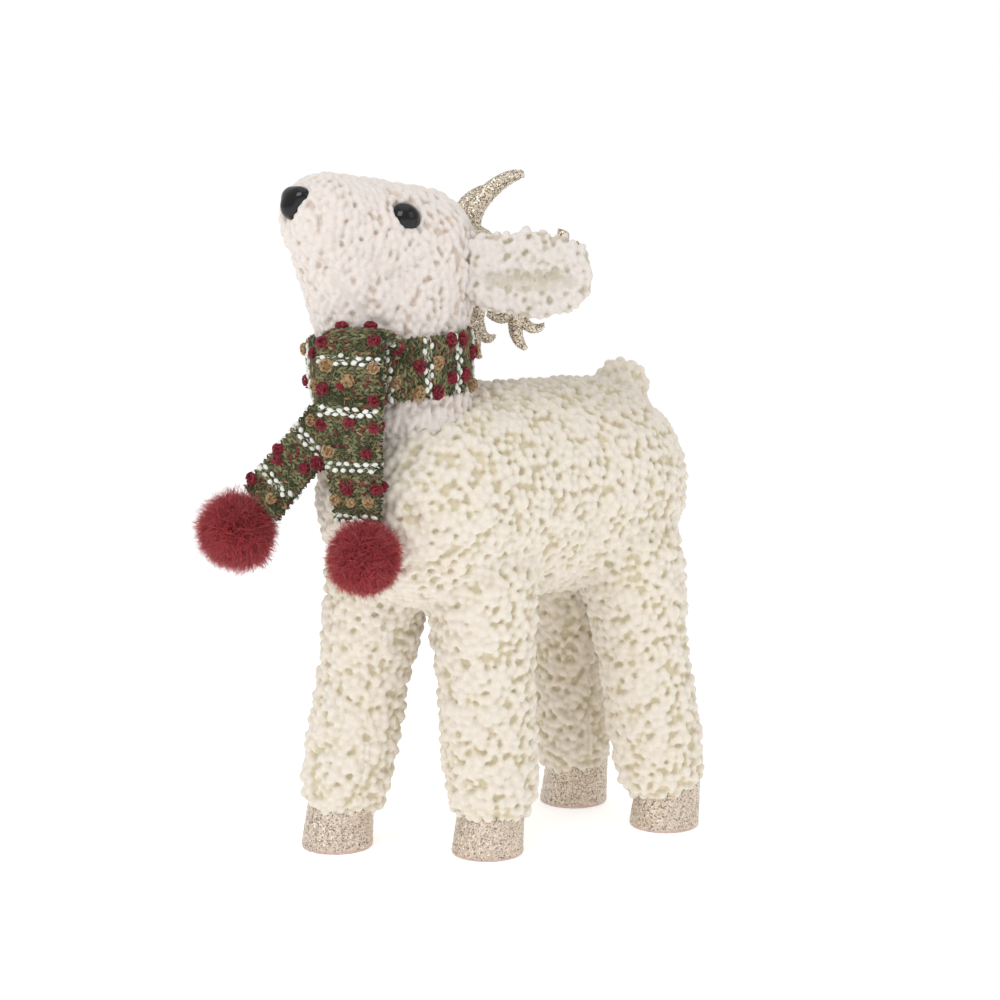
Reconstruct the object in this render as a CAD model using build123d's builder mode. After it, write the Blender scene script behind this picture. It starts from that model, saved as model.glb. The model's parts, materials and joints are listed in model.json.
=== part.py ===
from build123d import *
import os
from math import cos, radians, sin

# Plush standing fawn ornament: foam cores on a steel wire frame, fleece covers,
# moulded hooves, antlers, eyes and nose, and a knitted scarf with two fur pom-poms.
#
# Millimetres. +Z up, the animal faces -Y and its own left side is +X.
# The origin is on the ground, under the middle of the whole ornament.

os.makedirs("parts", exist_ok=True)

# ---------------------------------------------------------------- driving dimensions

fleece = 4.5            # thickness of the curled fleece covers
clearance = 0.5         # air between pieces that move on each other

# torso: two ball ends joined by a tapered barrel along Y
chest_radius = 43.5
chest = (0, -16.5, 141.5)
rump_radius = 43.0
rump = (0, 60.5, 140.5)

# neck and head, each stretch a ball-ended cone: (centre, radius)
neck_base = ((0, -27.5, 166), 27.0)
neck_top = ((0, -32.5, 211), 25.5)
crown = ((0, -24.8, 234.0), 26.2)
muzzle = ((0, -62.5, 248), 17.2)
throat = ((0, -38.0, 203), 23.0)
jaw = ((0, -60.5, 240.5), 16.0)

# stub tail on the rump
tail_root = ((0, 72, 168), 13.0)
tail_tip = ((0, 81.5, 178), 12.0)

# legs: top centre and radius, hem centre and radius, and where the hoof stands
legs = {
    "front_left": ((18, -5.5, 110), 22.5, (17.3, 1.5, 18), 17.5, (16.9, -1.3)),
    "front_right": ((-18, -26.5, 112), 22.0, (-27.2, -40.0, 18), 17.0, (-27.4, -42.7)),
    "rear_left": ((22, 67.5, 114), 22.0, (30.6, 79.0, 18), 17.6, (30.8, 79.9)),
    "rear_right": ((-20, 67.5, 115), 19.0, (-20.2, 74.0, 18), 15.6, (-20.3, 73.9)),
}
hoof_sole_radius = 14.2
hoof_top_radius = 12.6
hoof_height = 25.0      # the top third is hidden inside the fleece hem
hoof_rake = 3.0         # the sole stands this far in front of the hoof's top
hoof_round = 1.0

# steel wire frame
wire_radius = 1.2
wire_in_hoof = 8.0      # height of the wire's end above the ground
frame_height = 141.0    # height of the cross wires in the torso
spine_head = (0, -40, 238)

# eyes and nose: safety domes on stems, each eye held by a washer inside the head
eye_radius = 5.5
eye_height = 3.6        # how far the dome stands out of the fleece
eye_place = (19.2, -40.0, 249.6)
eye_normal = (0.86, -0.06, 0.5)
stem_radius = 1.6
stem_length = 11.0
washer_radius = 6.5
washer_thickness = 1.4
washer_depth = 6.5
nose_width = 15.0
nose_drop = 12.0
nose_height = 4.2
nose_sink = 1.2
nose_round = 2.2
nose_lift = 31.0        # degrees that the nose looks up

# antlers: stations are (out, up, radius) in the antler's own upright plane
antler_root = {"left": (9.0, -2.5, 243), "right": (-9.0, 2.5, 240)}
antler_peg_radius = 3.6
antler_peg_length = 14.0
antler_heading = {"left": 38.0, "right": 8.0}       # degrees outwards from straight back
antler_roll = {"left": 0.0, "right": 8.0}          # degrees tipped back
antler_tines = {
    "brow": [(0, -2, 4.0), (0.8, 7.4, 3.8), (4.8, 13.2, 3.4), (9.8, 17.8, 3.0), (15, 20.8, 2.4), (20, 22, 1.1)],
    "beam": [(-1, 0, 4.0), (8, -5, 3.6), (18, -9, 3.2), (27, -9, 2.8), (32.6, -6, 2.6), (35.2, 0.6, 2.0)],
    "back": [(22, -9.2, 2.4), (31, -10.6, 2.2), (37.5, -8.6, 1.8), (41, -4, 0.8)],
    "drop": [(15.5, -6, 3.0), (16.5, -18, 3.0), (17, -30, 3.0), (17.5, -40, 2.4), (21, -44.8, 1.0)],
    "fork": [(16.8, -26, 2.4), (19, -33, 2.4), (23, -36.6, 2.0), (28, -35.6, 0.9)],
    "inner": [(17, -29, 2.4), (11.5, -32.6, 2.4), (6, -31, 1.2)],
}

# ears: flat padded leaves hinged at the head
ear_root = (22.0, -11.8, 228.5)
ear_heading = 40.0      # degrees from straight out towards the back
ear_droop = 2.0
ear_length = 48.0
ear_root_half = 13.0
ear_half = 17.5
ear_thickness = 8.0
ear_round = 3.4
ear_setback = 3.5       # from the hinge line to the ear's own edge

# scarf
knit = 4.2
collar_centre = (0, -34.2, 194.0)
collar_half_width = 29.5
collar_half_depth = 32.8
collar_height = 23.0
collar_tilt = 3.0       # degrees that the collar dips at the throat
knot_centre = (19.6, -64.2, 195.0)
knot_size = (28.0, 12.0, 25.0)
knot_round = 3.0
front_heading = 25.0    # degrees to the left that the front end faces
front_hinge = (20.3, -67.5, 182.0)
front_lean = 6.5        # degrees that it leans back to the chest
front_length = 41.5
front_width = 25.0
side_hinge = (-1.7, -64.8, 171.0)
side_run = (-0.433, -0.465, -0.769)
side_face = (0.325, -0.917, 0.233)
side_length = 34.2
side_width = 22.5
end_round = 1.2
front_pompom = ((25.5, -65.0, 125.0), 13.0)
side_pompom = ((-23.8, -88.49, 131.8), 15.0)


# ---------------------------------------------------------------- shared shapes

seam_turn = 37.0



def ball_ended_cone(start, end, shrink=0.0, mode=Mode.ADD):
    """Add the solid around two balls, (centre, radius) each, and the cone tangent to both."""
    base = Vector(*start[0])
    run = Vector(*end[0]) - base
    start_radius = start[1] - shrink
    end_radius = end[1] - shrink
    lean = (start_radius - end_radius) / run.length
    rise = (1 - lean * lean) ** 0.5
    # the seam is turned away from the animal's middle plane
    side = Vector(1, 0, 0).cross(run).normalized().rotate(Axis((0, 0, 0), run), seam_turn)
    # the profile's own x runs out from the axis and its y runs along the axis
    half = Plane(origin=base, x_dir=side, z_dir=side.cross(run))
    start_top = (start_radius * rise, start_radius * lean)
    end_top = (end_radius * rise, run.length + end_radius * lean)
    start_mid = (start_radius * sin(radians(45)), -start_radius * cos(radians(45)))
    end_mid = (end_radius * sin(radians(30)), run.length + end_radius * cos(radians(30)))
    with BuildSketch(half) as profile:
        with BuildLine():
            ThreePointArc((0, -start_radius), start_mid, start_top)
            Line(start_top, end_top)
            ThreePointArc(end_top, end_mid, (0, run.length + end_radius))
            Line((0, run.length + end_radius), (0, -start_radius))
        make_face()
    revolve(profile.sketch, axis=Axis(base, run), mode=mode)


def rod(start, end, radius, mode=Mode.ADD):
    """Add a round rod from one point to another."""
    run = Vector(*end) - Vector(*start)
    with BuildSketch(Plane(origin=start, z_dir=run)) as section:
        Circle(radius)
    extrude(section.sketch, amount=run.length, mode=mode)


def wire(points):
    """Add round wire along straight runs, with a ball at every bend."""
    for start, end in zip(points, points[1:]):
        rod(start, end, wire_radius)
    for bend in points[1:-1]:
        with Locations(bend):
            Sphere(wire_radius)


def mirrored_x(point):
    """The same point on the animal's other side."""
    return (-point[0], point[1], point[2])


# ---------------------------------------------------------------- whole outlines used for trimming

with BuildPart() as torso_outline:
    ball_ended_cone((chest, chest_radius), (rump, rump_radius))

with BuildPart() as torso_filling:
    ball_ended_cone((chest, chest_radius), (rump, rump_radius), shrink=fleece)

with BuildPart() as head_outline:
    ball_ended_cone(neck_base, neck_top)
    ball_ended_cone(throat, jaw)
    ball_ended_cone(crown, muzzle)

with BuildPart() as head_filling:
    ball_ended_cone(neck_base, neck_top, shrink=fleece)
    ball_ended_cone(throat, jaw, shrink=fleece)
    ball_ended_cone(crown, muzzle, shrink=fleece)


# ---------------------------------------------------------------- wire frame

def wire_foot(leg):
    """Where the wire of one leg ends inside its hoof."""
    hem = legs[leg][2]
    return (hem[0], hem[1], wire_in_hoof)


def wire_hip(leg):
    """Where the wire of one leg bends into the torso's cross wire."""
    top = legs[leg][0]
    return (top[0], top[1], frame_height)


for pair in ("front", "rear"):
    left = f"{pair}_left"
    right = f"{pair}_right"
    with BuildPart() as leg_wire:
        wire([wire_foot(left), wire_hip(left), wire_hip(right), wire_foot(right)])
    leg_wire.part.label = f"{pair}_leg_wire"
    export_step(leg_wire.part, f"parts/{pair}_leg_wire.step")
    if pair == "front":
        front_wire = leg_wire
    else:
        rear_wire = leg_wire

with BuildPart() as spine_wire:
    wire([
        (0, wire_hip("rear_left")[1], frame_height + 2 * wire_radius),
        (0, chest[1], frame_height + 2 * wire_radius),
        (0, neck_top[0][1], neck_top[0][2]),
        spine_head,
    ])
    add(front_wire.part, mode=Mode.SUBTRACT)
    add(rear_wire.part, mode=Mode.SUBTRACT)
spine_wire.part.label = "spine_wire"
export_step(spine_wire.part, "parts/spine_wire.step")


# ---------------------------------------------------------------- hooves and legs

def raked_hoof(stand, mode=Mode.ADD):
    """Add a solid hoof: a round stub raked forwards onto its flat sole."""
    with BuildSketch(Plane(origin=(stand[0], stand[1], 0))) as sole:
        Circle(hoof_sole_radius)
    with BuildSketch(Plane(origin=(stand[0], stand[1] + hoof_rake, hoof_height))) as plug:
        Circle(hoof_top_radius)
    loft(sections=[sole.sketch, plug.sketch], mode=mode)


for leg, (hip, hip_radius, hem, hem_radius, stand) in legs.items():
    with BuildPart() as hoof:
        raked_hoof(stand)
        fillet(hoof.edges().group_by(Axis.Z)[0], hoof_round)
        rod(wire_foot(leg), wire_hip(leg), wire_radius, mode=Mode.SUBTRACT)
    hoof.part.label = f"{leg}_hoof"
    export_step(hoof.part, f"parts/{leg}_hoof.step")

    with BuildPart() as leg_core:
        ball_ended_cone((hip, hip_radius), (hem, hem_radius), shrink=fleece)
        split(bisect_by=Plane.XY.offset(hoof_height), keep=Keep.TOP)
        add(torso_outline.part, mode=Mode.SUBTRACT)
        rod(wire_foot(leg), wire_hip(leg), wire_radius, mode=Mode.SUBTRACT)
    leg_core.part.label = f"{leg}_leg_core"
    export_step(leg_core.part, f"parts/{leg}_leg_core.step")

    with BuildPart() as leg_cover:
        ball_ended_cone((hip, hip_radius), (hem, hem_radius))
        split(bisect_by=Plane.XY.offset(hem[2]), keep=Keep.TOP)
        ball_ended_cone((hip, hip_radius), (hem, hem_radius), shrink=fleece, mode=Mode.SUBTRACT)
        add(torso_outline.part, mode=Mode.SUBTRACT)
        raked_hoof(stand, mode=Mode.SUBTRACT)
    leg_cover.part.label = f"{leg}_leg_cover"
    export_step(leg_cover.part, f"parts/{leg}_leg_cover.step")


# ---------------------------------------------------------------- eyes, nose and antlers

muzzle_centre = Vector(*muzzle[0])
nose_out = Vector(0, -cos(radians(nose_lift)), sin(radians(nose_lift)))
nose_seat = muzzle_centre + nose_out * (muzzle[1] - nose_sink)
nose_half = nose_width / 2
nose_top = nose_drop * 0.42
nose_low = nose_drop * 0.58
nose_plane = Plane(origin=nose_seat, x_dir=(1, 0, 0), z_dir=nose_out)
with BuildPart() as nose:
    with BuildSketch(nose_plane) as nose_face:
        # wide and rounded at the top, narrowing to a rounded point
        with BuildLine():
            Spline((0, nose_top), (-nose_half * 0.72, nose_top * 0.82), (-nose_half, nose_top * 0.1),
                   (-nose_half * 0.5, -nose_low * 0.72), (0, -nose_low), (nose_half * 0.5, -nose_low * 0.72),
                   (nose_half, nose_top * 0.1), (nose_half * 0.72, nose_top * 0.82), periodic=True)
        make_face()
    extrude(nose_face.sketch, amount=nose_height)
    fillet(nose.faces().sort_by(Axis(nose_seat, nose_out))[-1].edges(), nose_round)
    rod(nose_seat - nose_out * stem_length, nose_seat, stem_radius)
nose.part.label = "nose"
export_step(nose.part, "parts/nose.step")

eyes = {}
washers = {}
for side in ("left", "right"):
    place = Vector(*(eye_place if side == "left" else mirrored_x(eye_place)))
    out = Vector(*(eye_normal if side == "left" else mirrored_x(eye_normal))).normalized()
    with BuildPart() as eye:
        # a dome cut from a ball whose rim has the eye's radius
        ball = (eye_radius ** 2 + eye_height ** 2) / (2 * eye_height)
        with Locations(place + out * (eye_height - ball)):
            Sphere(ball)
        split(bisect_by=Plane(origin=place, z_dir=out), keep=Keep.TOP)
        rod(place - out * stem_length, place, stem_radius)
    eye.part.label = f"{side}_eye"
    export_step(eye.part, f"parts/{side}_eye.step")
    eyes[side] = eye.part

    with BuildPart() as washer:
        rod(place - out * (washer_depth + washer_thickness), place - out * washer_depth, washer_radius)
        rod(place - out * stem_length, place, stem_radius, mode=Mode.SUBTRACT)
    washer.part.label = f"{side}_eye_washer"
    export_step(washer.part, f"parts/{side}_eye_washer.step")
    washers[side] = washer.part


def antler_plane(side):
    """The antler's own plane: x runs out and back, y runs up."""
    hand = 1 if side == "left" else -1
    heading = radians(antler_heading[side])
    roll = radians(antler_roll[side])
    out = Vector(hand * sin(heading), cos(heading), 0)
    tipped = out * cos(roll) - Vector(0, 0, 1) * sin(roll)
    return Plane(origin=antler_root[side], x_dir=tipped, z_dir=tipped.cross(out * sin(roll) + Vector(0, 0, 1) * cos(roll)))


def tine(plane, stations):
    """Add one tapering tine, lofted through round sections along its stations."""
    points = [plane.from_local_coords(Vector(out, up, 0)) for out, up, _ in stations]
    sections = []
    for index, (_, _, radius) in enumerate(stations):
        ahead = points[min(index + 1, len(points) - 1)]
        behind = points[max(index - 1, 0)]
        with BuildSketch(Plane(origin=points[index], x_dir=plane.z_dir, z_dir=ahead - behind)) as section:
            Circle(radius)
        sections.append(section.sketch)
    loft(sections=sections)


antlers = {}
for side in ("left", "right"):
    plane = antler_plane(side)
    peg_end = Vector(0, crown[0][1], crown[0][2])
    root = plane.origin
    peg_start = root + (peg_end - root).normalized() * antler_peg_length
    with BuildPart() as antler:
        for stations in antler_tines.values():
            tine(plane, stations)
        with Locations(root):
            Sphere(antler_tines["beam"][0][2])
        rod(peg_start, root, antler_peg_radius)
    antler.part.label = f"{side}_antler"
    export_step(antler.part, f"parts/{side}_antler.step")
    antlers[side] = antler.part


# ---------------------------------------------------------------- foam cores and fleece covers

with BuildPart() as torso_core:
    add(torso_filling.part)
    for hidden in (front_wire.part, rear_wire.part, spine_wire.part):
        add(hidden, mode=Mode.SUBTRACT)
torso_core.part.label = "torso_core"
export_step(torso_core.part, "parts/torso_core.step")

with BuildPart() as torso_cover:
    add(torso_outline.part)
    add(torso_filling.part, mode=Mode.SUBTRACT)
    for hidden in (front_wire.part, rear_wire.part, spine_wire.part):
        add(hidden, mode=Mode.SUBTRACT)
torso_cover.part.label = "torso_cover"
export_step(torso_cover.part, "parts/torso_cover.step")

head_fittings = [nose.part, spine_wire.part, *eyes.values(), *washers.values(), *antlers.values()]

with BuildPart() as head_core:
    add(head_filling.part)
    add(torso_outline.part, mode=Mode.SUBTRACT)
    for fitting in head_fittings:
        add(fitting, mode=Mode.SUBTRACT)
head_core.part.label = "head_core"
export_step(head_core.part, "parts/head_core.step")

with BuildPart() as head_cover:
    add(head_outline.part)
    add(head_filling.part, mode=Mode.SUBTRACT)
    add(torso_outline.part, mode=Mode.SUBTRACT)
    for fitting in head_fittings:
        add(fitting, mode=Mode.SUBTRACT)
head_cover.part.label = "head_cover"
export_step(head_cover.part, "parts/head_cover.step")

with BuildPart() as tail:
    ball_ended_cone(tail_root, tail_tip)
    add(torso_outline.part, mode=Mode.SUBTRACT)
tail.part.label = "tail"
export_step(tail.part, "parts/tail.step")


# ---------------------------------------------------------------- ears

for side in ("left", "right"):
    hand = 1 if side == "left" else -1
    run = Vector(hand * cos(radians(ear_heading)), sin(radians(ear_heading)), -sin(radians(ear_droop)))
    root = ear_root if side == "left" else mirrored_x(ear_root)
    with BuildPart() as ear:
        with BuildSketch(Plane(origin=root, x_dir=run, z_dir=run.cross(Vector(0, 0, 1)))) as leaf:
            with BuildLine():
                Spline((ear_setback, ear_root_half), (ear_length * 0.5, ear_half), (ear_length * 0.88, ear_half * 0.66),
                       (ear_length, 0), (ear_length * 0.88, -ear_half * 0.72), (ear_length * 0.5, -ear_half),
                       (ear_setback, -ear_root_half))
                Line((ear_setback, -ear_root_half), (ear_setback, ear_root_half))
            make_face()
        extrude(leaf.sketch, amount=ear_thickness / 2, both=True)
        fillet(ear.edges().filter_by(GeomType.BSPLINE), ear_round)
    ear.part.label = f"{side}_ear"
    export_step(ear.part, f"parts/{side}_ear.step")


# ---------------------------------------------------------------- scarf

collar_plane = Plane(origin=collar_centre).rotated((collar_tilt, 0, 0))
with BuildPart() as scarf_collar:
    with BuildSketch(collar_plane.offset(-collar_height / 2)) as band:
        Ellipse(collar_half_width, collar_half_depth)
    extrude(band.sketch, amount=collar_height)
    add(head_outline.part, mode=Mode.SUBTRACT)
    add(torso_outline.part, mode=Mode.SUBTRACT)
scarf_collar.part.label = "scarf_collar"
export_step(scarf_collar.part, "parts/scarf_collar.step")

front_out = Vector(sin(radians(front_heading)), -cos(radians(front_heading)), 0)
front_across = Vector(cos(radians(front_heading)), sin(radians(front_heading)), 0)
with BuildPart() as scarf_knot:
    with BuildSketch(Plane(origin=knot_centre, x_dir=front_across, z_dir=front_out)) as knot_face:
        RectangleRounded(knot_size[0], knot_size[2], knot_round)
    extrude(knot_face.sketch, amount=knot_size[1] / 2, both=True)
    fillet(scarf_knot.faces().sort_by(Axis(knot_centre, front_out))[-1].edges(), knot_round)
    add(scarf_collar.part, mode=Mode.SUBTRACT)
    add(head_outline.part, mode=Mode.SUBTRACT)
    add(torso_outline.part, mode=Mode.SUBTRACT)
scarf_knot.part.label = "scarf_knot"
export_step(scarf_knot.part, "parts/scarf_knot.step")


def scarf_end(hinge, across, down, width, length):
    """Add one flat end of the scarf, starting just clear of its hinge line."""
    face = across.cross(down)
    middle = hinge + down * (clearance + length / 2)
    with BuildSketch(Plane(origin=middle, x_dir=across, z_dir=face)) as strip:
        RectangleRounded(width, length, end_round)
    extrude(strip.sketch, amount=knit / 2, both=True)


front_down = -Vector(0, 0, 1) * cos(radians(front_lean)) - front_out * sin(radians(front_lean))
with BuildPart() as scarf_front_end:
    scarf_end(Vector(*front_hinge), front_across, front_down, front_width, front_length)
scarf_front_end.part.label = "scarf_front_end"
export_step(scarf_front_end.part, "parts/scarf_front_end.step")

side_down = Vector(*side_run).normalized()
side_across = side_down.cross(Vector(*side_face)).normalized()
with BuildPart() as scarf_side_end:
    scarf_end(Vector(*side_hinge), side_across, side_down, side_width, side_length)
scarf_side_end.part.label = "scarf_side_end"
export_step(scarf_side_end.part, "parts/scarf_side_end.step")

for name, (centre, radius) in {"front_pompom": front_pompom, "side_pompom": side_pompom}.items():
    with BuildPart() as pompom:
        with Locations(centre):
            Sphere(radius)
    pompom.part.label = name
    export_step(pompom.part, f"parts/{name}.step")
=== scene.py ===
"""Looks of a plush fawn ornament: fleece, glitter antlers and hooves, and a scarf with fur pom-poms."""
import json
import logging
import math
import random
from dataclasses import dataclass, field
from enum import Enum

import bmesh
import bpy
import numpy as np
from mathutils import Matrix, Vector, noise
from mathutils.bvhtree import BVHTree


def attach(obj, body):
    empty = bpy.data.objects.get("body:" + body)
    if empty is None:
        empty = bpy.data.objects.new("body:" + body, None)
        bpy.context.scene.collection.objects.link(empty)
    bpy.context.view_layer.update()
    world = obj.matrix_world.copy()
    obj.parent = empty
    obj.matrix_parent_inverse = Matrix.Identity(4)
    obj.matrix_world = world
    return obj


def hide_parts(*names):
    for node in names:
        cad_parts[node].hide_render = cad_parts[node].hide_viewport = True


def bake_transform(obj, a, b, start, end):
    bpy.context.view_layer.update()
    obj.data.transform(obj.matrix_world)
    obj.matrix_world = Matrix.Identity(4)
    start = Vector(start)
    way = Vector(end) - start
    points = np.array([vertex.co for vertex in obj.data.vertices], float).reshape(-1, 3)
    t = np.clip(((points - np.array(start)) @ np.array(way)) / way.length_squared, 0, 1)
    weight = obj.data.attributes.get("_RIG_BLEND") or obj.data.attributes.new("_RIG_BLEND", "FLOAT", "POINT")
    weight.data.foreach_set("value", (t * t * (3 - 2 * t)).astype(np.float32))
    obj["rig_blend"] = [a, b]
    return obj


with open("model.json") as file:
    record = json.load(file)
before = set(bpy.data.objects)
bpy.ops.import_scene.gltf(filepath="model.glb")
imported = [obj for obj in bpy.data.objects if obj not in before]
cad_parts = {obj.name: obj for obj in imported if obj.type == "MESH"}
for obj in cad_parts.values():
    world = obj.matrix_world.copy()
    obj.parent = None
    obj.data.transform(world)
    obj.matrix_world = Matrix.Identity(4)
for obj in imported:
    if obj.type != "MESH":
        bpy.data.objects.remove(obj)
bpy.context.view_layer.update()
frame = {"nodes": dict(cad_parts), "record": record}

logging.basicConfig(level=logging.INFO, format="%(message)s")
log = logging.getLogger("fawn")

MM = 0.001
UP = Vector((0, 0, 1))
CURL_CROWDING = 9  # curls tried in each square of the spacing
FLAKE_CROWDING = 1.8  # glitter flakes tried in each square of the spacing
LOOPS_IN_BOBBLE = 44
LOOSE_FIBRES = 1.1e6  # on a square metre of knit
FLOOR_HALF = 20  # metres
LENS = 81  # millimetres
SENSOR = 36  # millimetres
CAMERA_DISTANCE = 0.9
CAMERA_ANGLES = (52, 8)  # azimuth and elevation in degrees
Point = tuple[float, float, float]
Ball = tuple[Point, float]


# ------------------------------------------------------------------ shader language


class Socket:
    """An output socket that adds Math nodes when it is used in an expression."""

    def __init__(self, recipe: "Recipe", output: bpy.types.NodeSocket) -> None:
        """Keep the recipe that grows and the socket that is read."""
        self.recipe = recipe
        self.output = output

    def _math(self, operation: str, *values: object) -> "Socket":
        """Add one Math node on this recipe."""
        return self.recipe.node("ShaderNodeMath", {"operation": operation}, dict(enumerate(values)))

    def __add__(self, other: object) -> "Socket":
        """Sum."""
        return self._math("ADD", self, other)

    __radd__ = __add__

    def __mul__(self, other: object) -> "Socket":
        """Product."""
        return self._math("MULTIPLY", self, other)

    __rmul__ = __mul__

    def __sub__(self, other: object) -> "Socket":
        """Difference."""
        return self._math("SUBTRACT", self, other)

    def __rsub__(self, other: object) -> "Socket":
        """Difference from a number."""
        return self._math("SUBTRACT", other, self)

    def __gt__(self, other: object) -> "Socket":
        """One where this is greater, else zero."""
        return self._math("GREATER_THAN", self, other)

    def ramp(self, low: float, high: float) -> "Socket":
        """Smooth step from zero at low to one at high."""
        return self.recipe.node(
            "ShaderNodeMapRange", {"interpolation_type": "SMOOTHSTEP"}, {0: self, 1: low, 2: high}
        )


class Recipe:
    """Builds one material, node by node."""

    def __init__(self, name: str) -> None:
        """Start a material with a Principled shader joined to its output.

        Args:
            name: the material's name.
        """
        self.material = bpy.data.materials.new(name)
        self.material.use_nodes = True
        self.tree = self.material.node_tree
        self.shader = self.tree.nodes["Principled BSDF"]

    def node(
        self, kind: str, settings: dict | None = None, inputs: dict | None = None, out: int | str = 0,
    ) -> Socket:
        """Add a node and join its inputs.

        Args:
            kind: the node's type.
            settings: its own settings, set before its inputs.
            inputs: socket name or index to a value or another Socket.
            out: which output is wanted.

        Returns:
            The wanted output.
        """
        made = self.tree.nodes.new(kind)
        for key, value in (settings or {}).items():
            setattr(made, key, value)
        for key, value in (inputs or {}).items():
            self.put(made.inputs[key], value)
        return Socket(self, made.outputs[out])

    def put(self, target: bpy.types.NodeSocket, value: object) -> None:
        """Set a socket to a value, or join it to another Socket."""
        if isinstance(value, Socket):
            self.tree.links.new(value.output, target)
        else:
            target.default_value = value

    def set(self, **values: object) -> None:
        """Set inputs of the Principled shader; underscores stand for spaces."""
        for key, value in values.items():
            self.put(self.shader.inputs[key.replace("_", " ")], value)

    def place(self) -> Socket:
        """Object coordinates, in metres."""
        return self.node("ShaderNodeTexCoord", out="Object")

    def attribute(self, name: str) -> Socket:
        """A number stored on the mesh."""
        return self.node("ShaderNodeAttribute", {"attribute_name": name}, out="Fac")

    def noise(self, scale: float, detail: float = 2.0, where: Socket | None = None) -> Socket:
        """Noise from zero to one."""
        return self.node(
            "ShaderNodeTexNoise", None, {"Vector": where or self.place(), "Scale": scale, "Detail": detail},
        )

    def mix(self, share: object, first: object, second: object) -> Socket:
        """Mix two colours."""
        return self.node("ShaderNodeMix", {"data_type": "RGBA"}, {0: share, 6: first, 7: second}, out=2)

    def bump(self, height: Socket, distance: float, strength: float = 1.0) -> Socket:
        """A bumped normal from a height from zero to one, that is distance tall in metres."""
        return self.node(
            "ShaderNodeBump", None, {"Height": height, "Distance": distance, "Strength": strength},
            "Normal",
        )


def rgba(red: float, green: float, blue: float) -> tuple[float, float, float, float]:
    """A linear colour with full alpha."""
    return (red, green, blue, 1.0)


@dataclass(frozen=True)
class FleeceFinish:
    """Curled fleece: pale soft tips, with painted shade that makes the crevices darker and warmer."""

    name: str
    tip: tuple
    # colour of the painted shade in the crevices
    crevice_shade: tuple
    shade: tuple
    sink: float = 0.15
    rise: float = 0.95

    def make(self) -> bpy.types.Material:
        """Build the material. It reads the mesh's pile attribute, zero in a crevice and one on a tip."""
        r = Recipe(self.name)
        pile = r.attribute("pile")
        patches = r.noise(70.0, 2.0).ramp(0.35, 0.7)
        # Painted shade: where the pile is low, the colour turns to the crevice shade colour.
        depth = pile.ramp(self.sink, self.rise)
        body = r.mix(patches * 0.35, self.tip, self.shade)
        fibre = r.noise(1500.0, 3.0)
        r.set(
            Base_Color=r.mix(depth, self.crevice_shade, body),
            Roughness=0.92,
            Normal=r.bump(fibre + r.noise(620.0, 2.0) * 1.2, 0.00035, 0.7),
        )
        r.set(Sheen_Weight=0.25, Sheen_Roughness=0.5, Sheen_Tint=rgba(1, 0.98, 0.94))
        r.set(Subsurface_Weight=0.35, Subsurface_Scale=0.003, Subsurface_Radius=(1.0, 0.8, 0.6))
        r.set(Specular_IOR_Level=0.15)
        return r.material


@dataclass(frozen=True)
class GlitterFinish:
    """Plastic coated with glitter flakes that each catch the light their own way."""

    name: str
    bright: tuple
    dark: tuple
    flake: float
    sparkle: float
    dark_share: float
    lip: tuple | None = None

    def make(self) -> bpy.types.Material:
        """Build the material from cells, one for each flake."""
        r = Recipe(self.name)
        where = r.place()
        cells = r.node("ShaderNodeTexVoronoi", None, {"Vector": where, "Scale": 1 / self.flake}, "Color")
        parts = r.node("ShaderNodeSeparateColor", None, {0: cells}, "Red")
        other = r.node("ShaderNodeSeparateColor", None, {0: cells}, "Green")
        colour = r.mix(parts.ramp(self.dark_share - 0.12, self.dark_share + 0.12), self.dark, self.bright)
        colour = r.mix(other.ramp(0.82, 0.95) * 0.8, colour, rgba(1.0, 0.95, 0.86))
        if self.lip:
            height = r.node("ShaderNodeSeparateXYZ", None, {0: where}, "Z")
            colour = r.mix(height.ramp(0.0009, 0.0016), self.lip, colour)
        lean = r.node("ShaderNodeVectorMath", {"operation": "SUBTRACT"}, {0: cells, 1: (0.5, 0.5, 0.5)})
        lean = r.node("ShaderNodeVectorMath", {"operation": "SCALE"}, {0: lean, "Scale": self.sparkle})
        facing = r.node("ShaderNodeNewGeometry", out="Normal")
        turned = r.node("ShaderNodeVectorMath", {"operation": "ADD"}, {0: facing, 1: lean})
        turned = r.node("ShaderNodeVectorMath", {"operation": "NORMALIZE"}, {0: turned})
        r.set(Base_Color=colour, Metallic=0.75, Roughness=0.24 + other * 0.25, Normal=turned)
        r.set(Coat_Weight=0.3, Coat_Roughness=0.15)
        return r.material


@dataclass(frozen=True)
class GlossFinish:
    """Polished moulded plastic."""

    name: str
    colour: tuple

    def make(self) -> bpy.types.Material:
        """Build the material with faint polishing swirls."""
        r = Recipe(self.name)
        swirl = r.noise(260.0, 3.0)
        r.set(Base_Color=self.colour, Roughness=0.05 + swirl * 0.07, Normal=r.bump(swirl, 0.00003, 0.4))
        r.set(Coat_Weight=0.0, IOR=1.45, Specular_IOR_Level=0.45)
        return r.material


@dataclass(frozen=True)
class YarnFinish:
    """Wool yarn whose colour comes from the mesh's tone attribute, with twisted fibres."""

    name: str
    dark: tuple
    light: tuple
    fleck: tuple
    fibre_scale: float = 1100.0

    def make(self) -> bpy.types.Material:
        """Build the material; tone zero is the dark yarn and one the light."""
        r = Recipe(self.name)
        tone = r.attribute("tone")
        fibre = r.noise(self.fibre_scale, 3.0)
        colour = r.mix((tone + (fibre - 0.5) * 0.9).ramp(0.1, 0.9), self.dark, self.light)
        colour = r.mix(r.noise(420.0, 1.0).ramp(0.62, 0.74) * 0.7, colour, self.fleck)
        r.set(Base_Color=colour, Roughness=0.95, Normal=r.bump(fibre, 0.0003, 0.8))
        r.set(Sheen_Weight=0.3, Sheen_Roughness=0.45, Specular_IOR_Level=0.1)
        return r.material


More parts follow.
